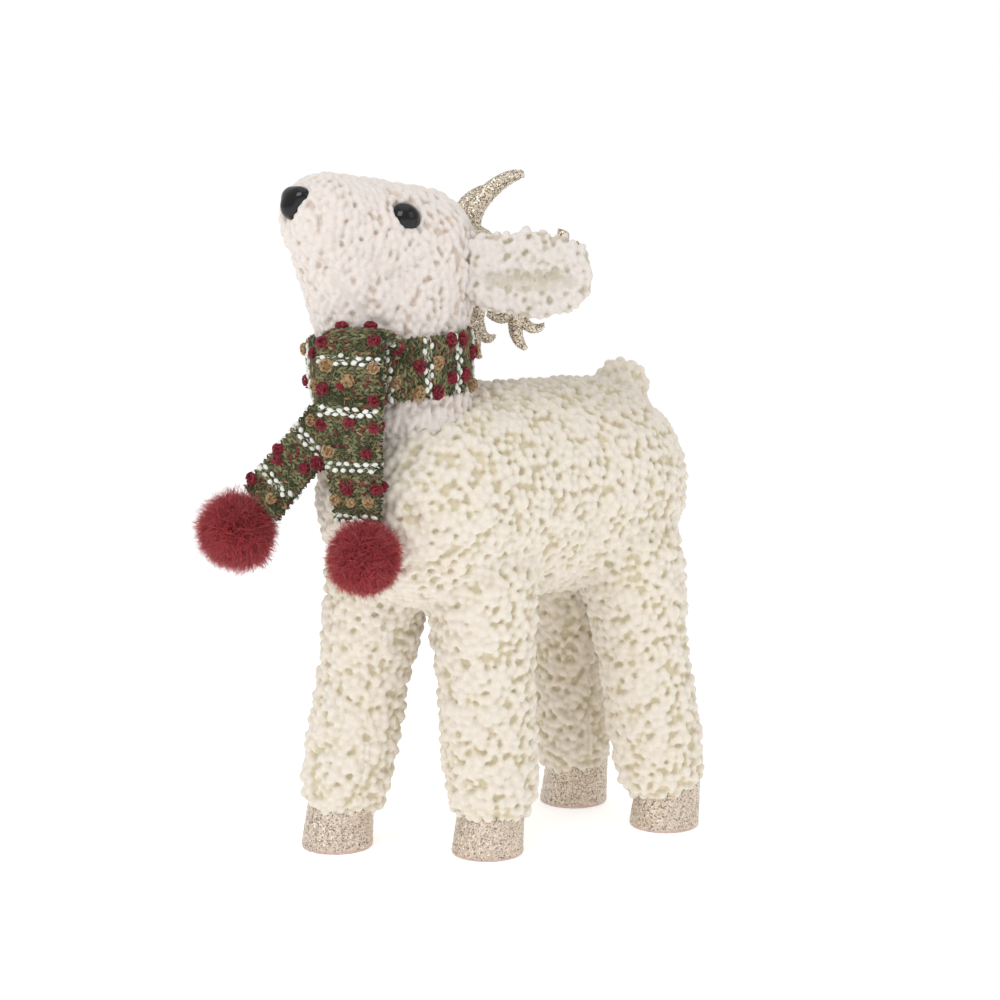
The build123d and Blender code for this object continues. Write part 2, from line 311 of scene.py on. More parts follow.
@dataclass(frozen=True)
class FurFinish:
    """Long dyed fur, with painted shade that darkens it towards its roots."""

    name: str
    # colour of the painted shade at the roots
    root: tuple
    tip: tuple
    pale: tuple

    def make(self) -> bpy.types.Material:
        """Build the material from the strands' tone and reach attributes."""
        r = Recipe(self.name)
        reach = r.attribute("reach")
        tone = r.attribute("tone")
        # Painted shade: the colour darkens from tip to root along each strand.
        colour = r.mix(reach.ramp(0.1, 0.85), self.root, self.tip)
        colour = r.mix(tone.ramp(0.7, 1.0) * 0.55, colour, self.pale)
        r.set(Base_Color=colour, Roughness=0.55)
        r.set(
            Sheen_Weight=0.35, Sheen_Roughness=0.4, Sheen_Tint=rgba(1.0, 0.45, 0.45),
            Specular_IOR_Level=0.3,
        )
        return r.material


@dataclass(frozen=True)
class PlainFinish:
    """A matt surface with a fine grain: foam, steel wire, washers and the studio floor."""

    name: str
    colour: tuple
    roughness: float
    metallic: float = 0.0
    grain: float = 900.0
    glow: float = 0.0

    def make(self) -> bpy.types.Material:
        """Build the material with slight colour and gloss variation."""
        r = Recipe(self.name)
        grain = r.noise(self.grain, 2.0)
        dim = tuple(c * 0.9 for c in self.colour[:3]) + (1.0,)
        r.set(Base_Color=r.mix(grain, dim, self.colour), Roughness=self.roughness + (grain - 0.5) * 0.1)
        r.set(Metallic=self.metallic, Emission_Color=rgba(1, 1, 1), Emission_Strength=self.glow)
        return r.material


# Each fleece's second colour is painted shade for its crevices; the first and third are its own colours.
BODY_FLEECE = FleeceFinish(
    "body_fleece", rgba(0.80, 0.74, 0.655), rgba(0.76, 0.69, 0.53), rgba(0.80, 0.73, 0.61),
)
HEAD_FLEECE = FleeceFinish(
    "head_fleece", rgba(0.76, 0.70, 0.66), rgba(0.73, 0.64, 0.57), rgba(0.76, 0.69, 0.635),
)
EAR_FLEECE = FleeceFinish(
    "ear_fleece", rgba(0.73, 0.68, 0.64), rgba(0.62, 0.56, 0.46), rgba(0.71, 0.65, 0.59),
)
ANTLER_GLITTER = GlitterFinish(
    "antler_glitter", rgba(0.80, 0.70, 0.56), rgba(0.26, 0.20, 0.13), 0.42 * MM, 1.1, 0.34
)
HOOF_GLITTER = GlitterFinish(
    "hoof_glitter", rgba(0.70, 0.58, 0.47), rgba(0.26, 0.22, 0.18), 0.5 * MM, 0.9, 0.2, rgba(0.62, 0.47, 0.42)
)
BLACK_GLOSS = GlossFinish("black_gloss", rgba(0.006, 0.006, 0.007))
OLIVE_YARN = YarnFinish(
    "olive_yarn", rgba(0.036, 0.044, 0.018), rgba(0.29, 0.28, 0.14), rgba(0.42, 0.38, 0.22),
)
RED_YARN = YarnFinish("red_yarn", rgba(0.13, 0.010, 0.018), rgba(0.30, 0.030, 0.045), rgba(0.22, 0.03, 0.03))
TAN_YARN = YarnFinish("tan_yarn", rgba(0.27, 0.16, 0.075), rgba(0.50, 0.33, 0.17), rgba(0.55, 0.42, 0.26))
WHITE_YARN = YarnFinish("white_yarn", rgba(0.56, 0.57, 0.52), rgba(0.82, 0.84, 0.80), rgba(0.74, 0.74, 0.68))
# The fur's root colour is painted shade; its tip and pale colours are its own.
RED_FUR = FurFinish("red_fur", rgba(0.22, 0.014, 0.024), rgba(0.50, 0.055, 0.065), rgba(0.68, 0.19, 0.18))
STEEL = PlainFinish("steel_wire", rgba(0.55, 0.55, 0.56), 0.35, 1.0)
FOAM = PlainFinish("foam", rgba(0.9, 0.89, 0.85), 0.9)
WASHER = PlainFinish("washer_plastic", rgba(0.82, 0.82, 0.80), 0.45)
FLOOR = PlainFinish("studio_floor", rgba(0.9, 0.9, 0.9), 0.9, 0.0, 8.0, 0.5)


# ------------------------------------------------------------------ mesh makers


def new_object(name: str, mesh: bpy.types.Mesh) -> bpy.types.Object:
    """Link a mesh into the scene as an object at the origin."""
    made = bpy.data.objects.new(name, mesh)
    bpy.context.scene.collection.objects.link(made)
    return made


def object_from(mesh: bmesh.types.BMesh, name: str) -> bpy.types.Object:
    """Turn a finished bmesh into an object and free it."""
    data = bpy.data.meshes.new(name)
    mesh.to_mesh(data)
    mesh.free()
    return new_object(name, data)


def mesh_from(name: str, points: list, faces: list) -> bpy.types.Object:
    """Make an object from points and faces."""
    mesh = bpy.data.meshes.new(name)
    mesh.from_pydata([tuple(p) for p in points], [], faces)
    mesh.update()
    return new_object(name, mesh)


def freeze(thing: bpy.types.Object) -> bpy.types.Object:
    """Swap an object's mesh for its evaluated one and drop its modifiers."""
    bpy.context.view_layer.update()
    graph = bpy.context.evaluated_depsgraph_get()
    done = bpy.data.meshes.new_from_object(thing.evaluated_get(graph), depsgraph=graph)
    old = thing.data
    thing.modifiers.clear()
    thing.data = done
    bpy.data.meshes.remove(old)
    return thing


def drop(*things: bpy.types.Object) -> None:
    """Remove objects that were only needed for making others."""
    for thing in things:
        bpy.data.objects.remove(thing, do_unlink=True)


def voxel_skin(thing: bpy.types.Object, voxel: float, smooths: int, factor: float = 0.5) -> bpy.types.Object:
    """Sew everything in a mesh into one closed skin.

    Args:
        thing: the object whose pieces overlap.
        voxel: grain of the new skin in metres.
        smooths: smoothing rounds.
        factor: strength of each round.

    Returns:
        The same object, with its mesh made anew.
    """
    remesh = thing.modifiers.new("skin", "REMESH")
    remesh.mode = "VOXEL"
    remesh.voxel_size = voxel
    if smooths:
        soften = thing.modifiers.new("soften", "SMOOTH")
        soften.iterations = smooths
        soften.factor = factor
    return freeze(thing)


def smooth_shade(thing: bpy.types.Object) -> None:
    """Shade every face smooth."""
    thing.data.polygons.foreach_set("use_smooth", [True] * len(thing.data.polygons))


def dress(thing: bpy.types.Object, *materials: bpy.types.Material) -> None:
    """Give an object its materials."""
    thing.data.materials.clear()
    for material in materials:
        thing.data.materials.append(material)


def frame_along(direction: Vector) -> tuple[Vector, Vector]:
    """Two unit vectors square to a direction."""
    lead = direction.normalized()
    helper = Vector((1, 0, 0)) if abs(lead.z) > 0.9 else UP
    first = helper.cross(lead).normalized()
    return first, lead.cross(first)


def add_lathe(mesh: bmesh.types.BMesh, rings: list[tuple[Vector, float]], around: int = 48) -> None:
    """Add a closed round solid through rings, with a point at each end.

    Args:
        mesh: the mesh that grows.
        rings: centre and radius of each ring, the first and last near zero radius.
        around: points in a ring.
    """
    first, second = frame_along(rings[-1][0] - rings[0][0])
    loops = []
    for centre, radius in rings[1:-1]:
        loop = []
        for step in range(around):
            turn = step * math.tau / around
            loop.append(mesh.verts.new(centre + (first * math.cos(turn) + second * math.sin(turn)) * radius))
        loops.append(loop)
    start = mesh.verts.new(rings[0][0])
    end = mesh.verts.new(rings[-1][0])
    for step in range(around):
        after = (step + 1) % around
        mesh.faces.new((start, loops[0][after], loops[0][step]))
        mesh.faces.new((end, loops[-1][step], loops[-1][after]))
        for low, high in zip(loops, loops[1:]):
            mesh.faces.new((low[step], low[after], high[after], high[step]))


def add_limb(mesh: bmesh.types.BMesh, start: Ball, end: Ball, waist: float = 0.0, around: int = 48) -> None:
    """Add a ball-ended cone, pulled in or out between its ends.

    Args:
        mesh: the mesh that grows.
        start: centre and radius of the first ball.
        end: centre and radius of the second ball.
        waist: how far the middle is pulled in, in metres.
        around: points in a ring.
    """
    first, radius_a = Vector(start[0]), start[1]
    last, radius_b = Vector(end[0]), end[1]
    run = last - first
    reach = max(run.length, 1e-6)
    lead = run.normalized()
    lean = max(-0.95, min(0.95, (radius_a - radius_b) / reach))
    tilt = math.asin(lean)
    rings = []
    caps = 10
    for step in range(caps + 1):
        angle = -math.pi / 2 + (math.pi / 2 + tilt) * step / caps
        rings.append((first + lead * math.sin(angle) * radius_a, math.cos(angle) * radius_a))
    body = 16
    join_a, join_b = rings[-1], (last + lead * math.sin(tilt) * radius_b, math.cos(tilt) * radius_b)
    for step in range(1, body):
        share = step / body
        radius = join_a[1] * (1 - share) + join_b[1] * share - waist * math.sin(share * math.pi) ** 2
        rings.append((join_a[0].lerp(join_b[0], share), radius))
    for step in range(caps + 1):
        angle = tilt + (math.pi / 2 - tilt) * step / caps
        rings.append((last + lead * math.sin(angle) * radius_b, math.cos(angle) * radius_b))
    add_lathe(mesh, rings, around)


# ------------------------------------------------------------------ geometry nodes


class Tree:
    """A geometry node tree built by one object, with named inputs."""

    def __init__(self, name: str, **inputs: tuple[str, object]) -> None:
        """Start a tree that takes geometry and gives geometry.

        Args:
            name: the tree's name.
            inputs: input name to its socket type and default value.
        """
        self.group = bpy.data.node_groups.new(name, "GeometryNodeTree")
        face = self.group.interface
        face.new_socket("Geometry", in_out="INPUT", socket_type="NodeSocketGeometry")
        face.new_socket("Geometry", in_out="OUTPUT", socket_type="NodeSocketGeometry")
        self.sockets: dict[str, str] = {}
        for label, (kind, value) in inputs.items():
            made = face.new_socket(label, in_out="INPUT", socket_type=kind)
            if value is not None:
                made.default_value = value
            self.sockets[label] = made.identifier
        self.start = self.group.nodes.new("NodeGroupInput")
        self.end = self.group.nodes.new("NodeGroupOutput")

    def given(self, label: str) -> bpy.types.NodeSocket:
        """The tree's own input of that name."""
        return self.start.outputs[label]

    def node(self, kind: str, settings: dict | None = None, inputs: dict | None = None) -> bpy.types.Node:
        """Add a node, set it and join its inputs.

        Args:
            kind: the node's type.
            settings: its own settings.
            inputs: socket name or index to a value or to another node's output.

        Returns:
            The node.
        """
        made = self.group.nodes.new(kind)
        for key, value in (settings or {}).items():
            setattr(made, key, value)
        for key, value in (inputs or {}).items():
            if isinstance(value, bpy.types.NodeSocket):
                self.group.links.new(value, made.inputs[key])
            else:
                made.inputs[key].default_value = value
        return made

    def finish(self, geometry: bpy.types.NodeSocket, material: bpy.types.NodeSocket) -> None:
        """End in Realize Instances and Set Material."""
        real = self.node("GeometryNodeRealizeInstances", None, {0: geometry})
        done = self.node("GeometryNodeSetMaterial", None, {0: real.outputs[0], "Material": material})
        self.group.links.new(done.outputs[0], self.end.inputs[0])

    def apply(self, thing: bpy.types.Object, **values: object) -> bpy.types.Object:
        """Run the tree on an object and keep the result as a plain mesh.

        Args:
            thing: the object that is given to the tree.
            values: values for the tree's inputs by name.

        Returns:
            The same object.
        """
        modifier = thing.modifiers.new(self.group.name, "NODES")
        modifier.node_group = self.group
        for label, value in values.items():
            modifier[self.sockets[label]] = value
        return freeze(thing)


def scatter_tree(name: str, poisson: bool = True) -> Tree:
    """A tree that scatters one shape over a skin, standing along its normals.

    Args:
        name: the tree's name.
        poisson: keep a least distance between shapes.

    Returns:
        The tree, with inputs Shape, Spacing, Density, Small, Large, Lean, Seed and Finish.
    """
    tree = Tree(
        name,
        Shape=("NodeSocketObject", None),
        Spacing=("NodeSocketFloat", 2 * MM),
        Density=("NodeSocketFloat", 1000.0),
        Small=("NodeSocketFloat", 0.8),
        Large=("NodeSocketFloat", 1.2),
        Lean=("NodeSocketFloat", 0.3),
        Comb=("NodeSocketFloat", 0.0),
        Spin=("NodeSocketFloat", math.pi),
        Skin=("NodeSocketBool", True),
        Seed=("NodeSocketInt", 1),
        Finish=("NodeSocketMaterial", None),
    )
    spots = tree.node(
        "GeometryNodeDistributePointsOnFaces",
        {"distribute_method": "POISSON" if poisson else "RANDOM"},
        {
            "Mesh": tree.given("Geometry"),
            "Seed": tree.given("Seed"),
            ("Distance Min" if poisson else "Density"): tree.given("Spacing" if poisson else "Density"),
        },
    )
    if poisson:
        tree.group.links.new(tree.given("Density"), spots.inputs["Density Max"])
    size = tree.node(
        "FunctionNodeRandomValue",
        {"data_type": "FLOAT"},
        {"Min": tree.given("Small"), "Max": tree.given("Large"), "Seed": tree.given("Seed")},
    )
    back = tree.node("ShaderNodeMath", {"operation": "MULTIPLY"}, {0: tree.given("Spin"), 1: -1.0})
    spin = tree.node(
        "FunctionNodeRandomValue",
        {"data_type": "FLOAT"},
        {2: back.outputs[0], 3: tree.given("Spin"), "Seed": 77},
    )
    swing = tree.node("ShaderNodeMath", {"operation": "MULTIPLY"}, {0: tree.given("Lean"), 1: -1.0})
    tip_x = tree.node(
        "FunctionNodeRandomValue",
        {"data_type": "FLOAT"},
        {2: swing.outputs[0], 3: tree.given("Lean"), "Seed": 5},
    )
    tip_y = tree.node(
        "FunctionNodeRandomValue",
        {"data_type": "FLOAT"},
        {2: swing.outputs[0], 3: tree.given("Lean"), "Seed": 9},
    )
    turn = tree.node(
        "ShaderNodeCombineXYZ", None, {0: tip_x.outputs[1], 1: tip_y.outputs[1], 2: spin.outputs[1]}
    )
    combed = tree.node(
        "FunctionNodeAlignRotationToVector",
        {"axis": "X", "pivot_axis": "Z"},
        {0: spots.outputs["Rotation"], 1: tree.given("Comb"), 2: (0.0, 0.0, -1.0)},
    )
    facing = tree.node(
        "FunctionNodeRotateRotation",
        {"rotation_space": "LOCAL"},
        {0: combed.outputs[0], 1: turn.outputs[0]},
    )
    shape = tree.node("GeometryNodeObjectInfo", {"transform_space": "ORIGINAL"}, {0: tree.given("Shape")})
    tone = tree.node("FunctionNodeRandomValue", {"data_type": "FLOAT"}, {2: 0.0, 3: 1.0, "Seed": 31})
    named = tree.node(
        "GeometryNodeStoreNamedAttribute",
        {"data_type": "FLOAT", "domain": "POINT"},
        {0: spots.outputs["Points"], "Name": "tone", "Value": tone.outputs[1]},
    )
    copies = tree.node(
        "GeometryNodeInstanceOnPoints",
        None,
        {
            "Points": named.outputs[0],
            "Instance": shape.outputs["Geometry"],
            "Rotation": facing.outputs[0],
            "Scale": size.outputs[1],
        },
    )
    kept = tree.node(
        "GeometryNodeSwitch",
        {"input_type": "GEOMETRY"},
        {0: tree.given("Skin"), 2: tree.given("Geometry")},
    )
    joined = tree.node("GeometryNodeJoinGeometry")
    tree.group.links.new(copies.outputs[0], joined.inputs[0])
    tree.group.links.new(kept.outputs[0], joined.inputs[0])
    tree.finish(joined.outputs[0], tree.given("Finish"))
    return tree


# ------------------------------------------------------------------ fleece


def pile_depth(skin: bpy.types.Object, backing: bpy.types.Object, height: float) -> None:
    """Store on each point of a fleece how far it stands above its backing, which sets its painted crevice shade.

    Args:
        skin: the curled fleece.
        backing: the smooth skin under the curls.
        height: pile height that counts as one, in metres.
    """
    tree = BVHTree.FromObject(backing, bpy.context.evaluated_depsgraph_get())
    rise = []
    for vertex in skin.data.vertices:
        near, normal, *_ = tree.find_nearest(vertex.co)
        rise.append(max(0.0, (vertex.co - near).dot(normal)) / height)
    store = skin.data.attributes.new("pile", "FLOAT", "POINT")
    store.data.foreach_set("value", rise)


def curl_lump(name: str, length: float, width: float, height: float, curl: float) -> bpy.types.Object:
    """One curl of fleece: a short crooked bead of yarn lying on the skin.

    Args:
        name: the object's name.
        length: along its own X, in metres.
        width: across, in metres.
        height: above the skin, in metres.
        curl: how far its ends bend, in metres.

    Returns:
        A closed low bead of a few dozen faces.
    """
    mesh = bmesh.new()
    bmesh.ops.create_icosphere(mesh, subdivisions=2, radius=1.0)
    for vertex in mesh.verts:
        along, side, lift = vertex.co
        vertex.co = Vector(
            (along * length / 2, side * width / 2 + curl * along * along, lift * height / 2 + height * 0.3)
        )
    bmesh.ops.recalc_face_normals(mesh, faces=mesh.faces)
    return object_from(mesh, name)


@dataclass
class Fleece:
    """A curled fleece skin over a smooth body."""

    name: str
    length: float
    width: float
    height: float
    spacing: float
    voxel: float
    smooths: int
    finish: FleeceFinish
    curl: float = 0.0
    small: float = 0.75
    large: float = 1.25
    lean: float = 0.3
    comb: float = 0.0
    spin: float = math.pi
    seed: int = 3
    creases: list = field(default_factory=list)

    def grow(self, backing: bpy.types.Object, scatter: Tree) -> bpy.types.Object:
        """Grow curls over a copy of the backing and sew them into one skin.

        Args:
            backing: the smooth body under the fleece; it is removed afterwards.
            scatter: the tree that scatters one shape over a skin.

        Returns:
            The curled fleece, with its pile attribute and finish.
        """
        lump = curl_lump(self.name + "_curl", self.length, self.width, self.height, self.curl)
        skin = new_object(self.name, backing.data.copy())
        scatter.apply(
            skin,
            Shape=lump,
            Spacing=self.spacing,
            Density=CURL_CROWDING / self.spacing**2,
            Small=self.small,
            Large=self.large,
            Lean=self.lean,
            Comb=self.comb,
            Spin=self.spin,
            Seed=self.seed,
        )
        for item in [a.name for a in skin.data.attributes if a.name == "tone"]:
            skin.data.attributes.remove(skin.data.attributes[item])
        voxel_skin(skin, self.voxel * (1.0), self.smooths)
        pile_depth(skin, backing, self.height * 0.72)
        # Each crease also paints shade into the fleece by lowering its pile.
        for path, reach, depth in self.creases:
            dent(skin, path, reach, depth)
        smooth_shade(skin)
        dress(skin, self.finish.make())
        drop(lump)
        return skin


def dent(thing: bpy.types.Object, path: list[Point], reach: float, depth: float) -> None:
    """Press a soft crease into a skin along a path, and lower its pile there if it has one, which paints shade
    into the crease.

    Args:
        thing: the object whose points are moved.
        path: points that the crease passes through.
        reach: half its width in metres.
        depth: how deep it is in metres.
    """
    corners = [Vector(p) for p in path]
    pile = thing.data.attributes.get("pile")
    moved = []
    for vertex in thing.data.vertices:
        best = reach
        for a, b in zip(corners, corners[1:]):
            run = b - a
            share = max(0.0, min(1.0, (vertex.co - a).dot(run) / run.length_squared))
            best = min(best, (vertex.co - a - run * share).length)
        if best < reach:
            fall = 0.5 + 0.5 * math.cos(math.pi * best / reach)
            moved.append((vertex.index, vertex.normal * depth * fall))
            # Lowering the pile paints shade into the crease.
            if pile:
                pile.data[vertex.index].value -= 0.55 * fall * fall
    for index, step in moved:
        thing.data.vertices[index].co -= step
    thing.data.update()


def mm(x: float, y: float, z: float) -> Point:
    """A point given in millimetres, in metres."""
    return (x * MM, y * MM, z * MM)


@dataclass
class Leg:
    """A stuffed leg sleeve from the hip to its hem above the hoof."""

    name: str
    hip: Ball
    hem: Ball
    waist: float


@dataclass
class Body:
    """The stuffed body: barrel, four legs and tail under one sewn fleece."""

    chest: Ball = (mm(0, -16.5, 141.5), 43.5 * MM)
    rump: Ball = (mm(0, 60.5, 140.5), 43.0 * MM)
    tail_root: Ball = (mm(0, 72, 168), 13 * MM)
    tail_tip: Ball = (mm(0, 81.5, 178), 12 * MM)
    pile: float = 2.5 * MM
    legs: list[Leg] = field(
        default_factory=lambda: [
            Leg("front_left_leg", (mm(18, -5.5, 110), 22.5 * MM), (mm(17.3, 1.5, 18), 17.5 * MM), 1.4 * MM),
            Leg(
                "front_right_leg", (mm(-18, -26.5, 112), 22.0 * MM), (mm(-27.2, -40.0, 18), 17.0 * MM),
                1.8 * MM,
            ),
            Leg("rear_left_leg", (mm(22, 67.5, 114), 22.0 * MM), (mm(30.6, 79.0, 18), 17.6 * MM), 1.6 * MM),
            Leg(
                "rear_right_leg", (mm(-20, 67.5, 115), 19.0 * MM), (mm(-20.2, 74.0, 18), 15.6 * MM),
                1.2 * MM,
            ),
        ]
    )

    def _leg(self, mesh: bmesh.types.BMesh, leg: Leg) -> None:
        """Add a leg that ends in a soft hem instead of a ball."""
        top, low = Vector(leg.hip[0]), Vector(leg.hem[0])
        run = low - top
        steps = 22
        rings = [
            (top - run.normalized() * leg.hip[1] * 0.9, 0.001 * MM),
            (top - run.normalized() * leg.hip[1] * 0.6, leg.hip[1] * 0.7),
        ]
        for step in range(steps + 1):
            share = step / steps
            radius = leg.hip[1] * (1 - share) + leg.hem[1] * share - self.pile
            radius -= leg.waist * math.sin(math.pi * min(1.0, share * 1.25)) ** 2
            radius *= 1.0 - 0.10 * max(0.0, (share - 0.93) / 0.07) ** 2
            rings.append((top + run * share, radius))
        rings.append((low + run.normalized() * 1.4 * MM, leg.hem[1] * 0.74))
        rings.append((low + run.normalized() * 1.5 * MM, 0.001 * MM))
        add_lathe(mesh, rings)

    def backing(self) -> bpy.types.Object:
        """Build the smooth stuffed shape under the pile."""
        mesh = bmesh.new()
        pile = self.pile
        add_limb(
            mesh, (self.chest[0], self.chest[1] - pile), (self.rump[0], self.rump[1] - pile), 0.6 * MM, 72,
        )
        add_limb(
            mesh, (self.tail_root[0], self.tail_root[1] - pile),
            (self.tail_tip[0], self.tail_tip[1] - pile),
        )
        for leg in self.legs:
            self._leg(mesh, leg)
        thing = voxel_skin(object_from(mesh, "body_backing"), 2.0 * MM, 6)
        dent(
            thing, [mm(43, 34, 138), mm(39.7, 34.8, 124), mm(32, 37, 111), mm(24, 42, 104)], 9 * MM,
            2.4 * MM,
        )
        dent(
            thing, [mm(-43, 34, 138), mm(-39.7, 34.8, 124), mm(-32, 37, 111), mm(-24, 42, 104)], 9 * MM,
            2.4 * MM,
        )
        dent(thing, [mm(33, -32, 112), mm(26, -44, 118), mm(12, -52, 112)], 7 * MM, 1.2 * MM)
        dent(thing, [mm(-1.0, 68, 84), mm(-3.0, 68.5, 60), mm(-4.6, 69.4, 24)], 4 * MM, 1.6 * MM)
        dent(thing, [mm(-1.0, -37, 92), mm(-4.8, -40.8, 63), mm(-10, -44, 24)], 4 * MM, 1.4 * MM)
        dent(thing, [mm(1, -4, 92), mm(0, -2, 60), mm(0, 2, 24)], 4 * MM, 1.4 * MM)
        dent(thing, [mm(8, 70, 92), mm(11, 74, 60), mm(14, 78, 24)], 4 * MM, 1.4 * MM)
        return thing

    def make(self, scatter: Tree) -> bpy.types.Object:
        """Grow the body's fleece and hand it to the frame."""
        backing = self.backing()
        fleece = Fleece(
            "body_fleece", 4.1 * MM, 3.6 * MM, 4.0 * MM, 2.95 * MM, 0.64 * MM, 1, BODY_FLEECE, 0.3 * MM,
            0.7, 1.3,
            # Pressed grooves, with painted shade along them.
            creases=[
                ([mm(-1.5, 68, 88), mm(-3.0, 68.5, 60), mm(-4.6, 69.4, 22)], 1.6 * MM, 1.3 * MM),
                ([mm(-1.0, -37, 96), mm(-4.8, -40.8, 63), mm(-10, -44, 22)], 1.6 * MM, 1.2 * MM),
                ([mm(1, -4, 92), mm(0, -2, 60), mm(0, 2, 22)], 1.6 * MM, 1.2 * MM),
                ([mm(8, 70, 92), mm(11, 74, 60), mm(14, 78, 22)], 1.6 * MM, 1.2 * MM),
            ],
        )
        skin = fleece.grow(backing, scatter)
        drop(backing)
        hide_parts("torso_cover", "tail", *[leg.name + "_cover" for leg in self.legs])
        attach(skin, "animal")
        return skin


@dataclass
class Head:
    """The neck, head and muzzle under a finer, softer fleece."""

    neck_base: Ball = (mm(0, -27.5, 166), 27.0 * MM)
    neck_top: Ball = (mm(0, -32.5, 211), 25.5 * MM)
    crown: Ball = (mm(0, -24.8, 234.0), 26.2 * MM)
    nape: Ball = (mm(0, -27.0, 217.5), 25.4 * MM)
    muzzle: Ball = (mm(0, -62.5, 248), 17.2 * MM)
    throat: Ball = (mm(0, -38, 203), 23.0 * MM)
    jaw: Ball = (mm(0, -60.5, 240.5), 16.0 * MM)
    eye: Point = mm(19.2, -40.0, 249.6)
    eye_normal: Point = (0.86, -0.06, 0.5)
    eye_radius: float = 5.5 * MM
    pile: float = 1.7 * MM

    def backing(self) -> bpy.types.Object:
        """Build the smooth stuffed shape under the pile."""
        mesh = bmesh.new()
        pairs = [(self.neck_base, self.neck_top), (self.throat, self.jaw), (self.crown, self.muzzle)]
        for start, end in pairs:
            add_limb(mesh, (start[0], start[1] - self.pile), (end[0], end[1] - self.pile))
        add_limb(mesh, (self.nape[0], self.nape[1] - self.pile), (self.crown[0], self.crown[1] - self.pile))
        thing = voxel_skin(object_from(mesh, "head_backing"), 1.6 * MM, 8)
        for side in (1, -1):
            crease = [
                mm(11 * side, -69, 230), mm(13.6 * side, -64, 222), mm(17 * side, -56.8, 212.5),
                mm(20 * side, -50, 205),
            ]
            dent(thing, crease, 6 * MM, 2.0 * MM)
        self._socket(thing)
        return thing

    def _socket(self, thing: bpy.types.Object) -> None:
        """Press a shallow hollow round each eye, so that its rim sinks into the pile."""
        for side in (1, -1):
            centre = Vector((self.eye[0] * side, self.eye[1], self.eye[2]))
            facing = Vector((self.eye_normal[0] * side, self.eye_normal[1], self.eye_normal[2])).normalized()
            for vertex in thing.data.vertices:
                gap = (vertex.co - centre).length
                reach = self.eye_radius * 1.15
                if gap < reach:
                    vertex.co -= facing * 1.4 * MM * (1 - (gap / reach) ** 4)
        thing.data.update()

    def make(self, scatter: Tree) -> bpy.types.Object:
        """Grow the head's fleece and hand it to the frame."""
        backing = self.backing()
        fleece = Fleece(
            "head_fleece", 4.6 * MM, 2.9 * MM, 3.0 * MM, 2.6 * MM, 0.56 * MM, 1, HEAD_FLEECE, 0.5 * MM,
            0.75, 1.25,
            comb=1.0, spin=0.6, seed=11,
            # Pressed grooves, with painted shade along them.
            creases=[
                (
                    [
                        mm(10 * s, -71, 232), mm(13.6 * s, -64, 222), mm(17 * s, -56.8, 212.5),
                        mm(19 * s, -52, 206),
                    ],
                    2.0 * MM,
                    1.1 * MM,
                )
                for s in (1, -1)
            ],
        )
        skin = fleece.grow(backing, scatter)
        self.bare(skin)
        drop(backing)
        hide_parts("head_cover")
        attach(skin, "animal")
        return skin

    def bare(self, skin: bpy.types.Object) -> None:
        """Comb the pile off the eye domes and press it down round them."""
        for side in (1, -1):
            centre = Vector((self.eye[0] * side, self.eye[1], self.eye[2]))
            facing = Vector((self.eye_normal[0] * side, self.eye_normal[1], self.eye_normal[2])).normalized()
            for vertex in skin.data.vertices:
                off = vertex.co - centre
                out = off.dot(facing)
                across = (off - facing * out).length
                if across < self.eye_radius * 0.97 and out > -6 * MM:
                    vertex.co -= facing * max(0.0, out + 1.2 * MM)
        skin.data.update()


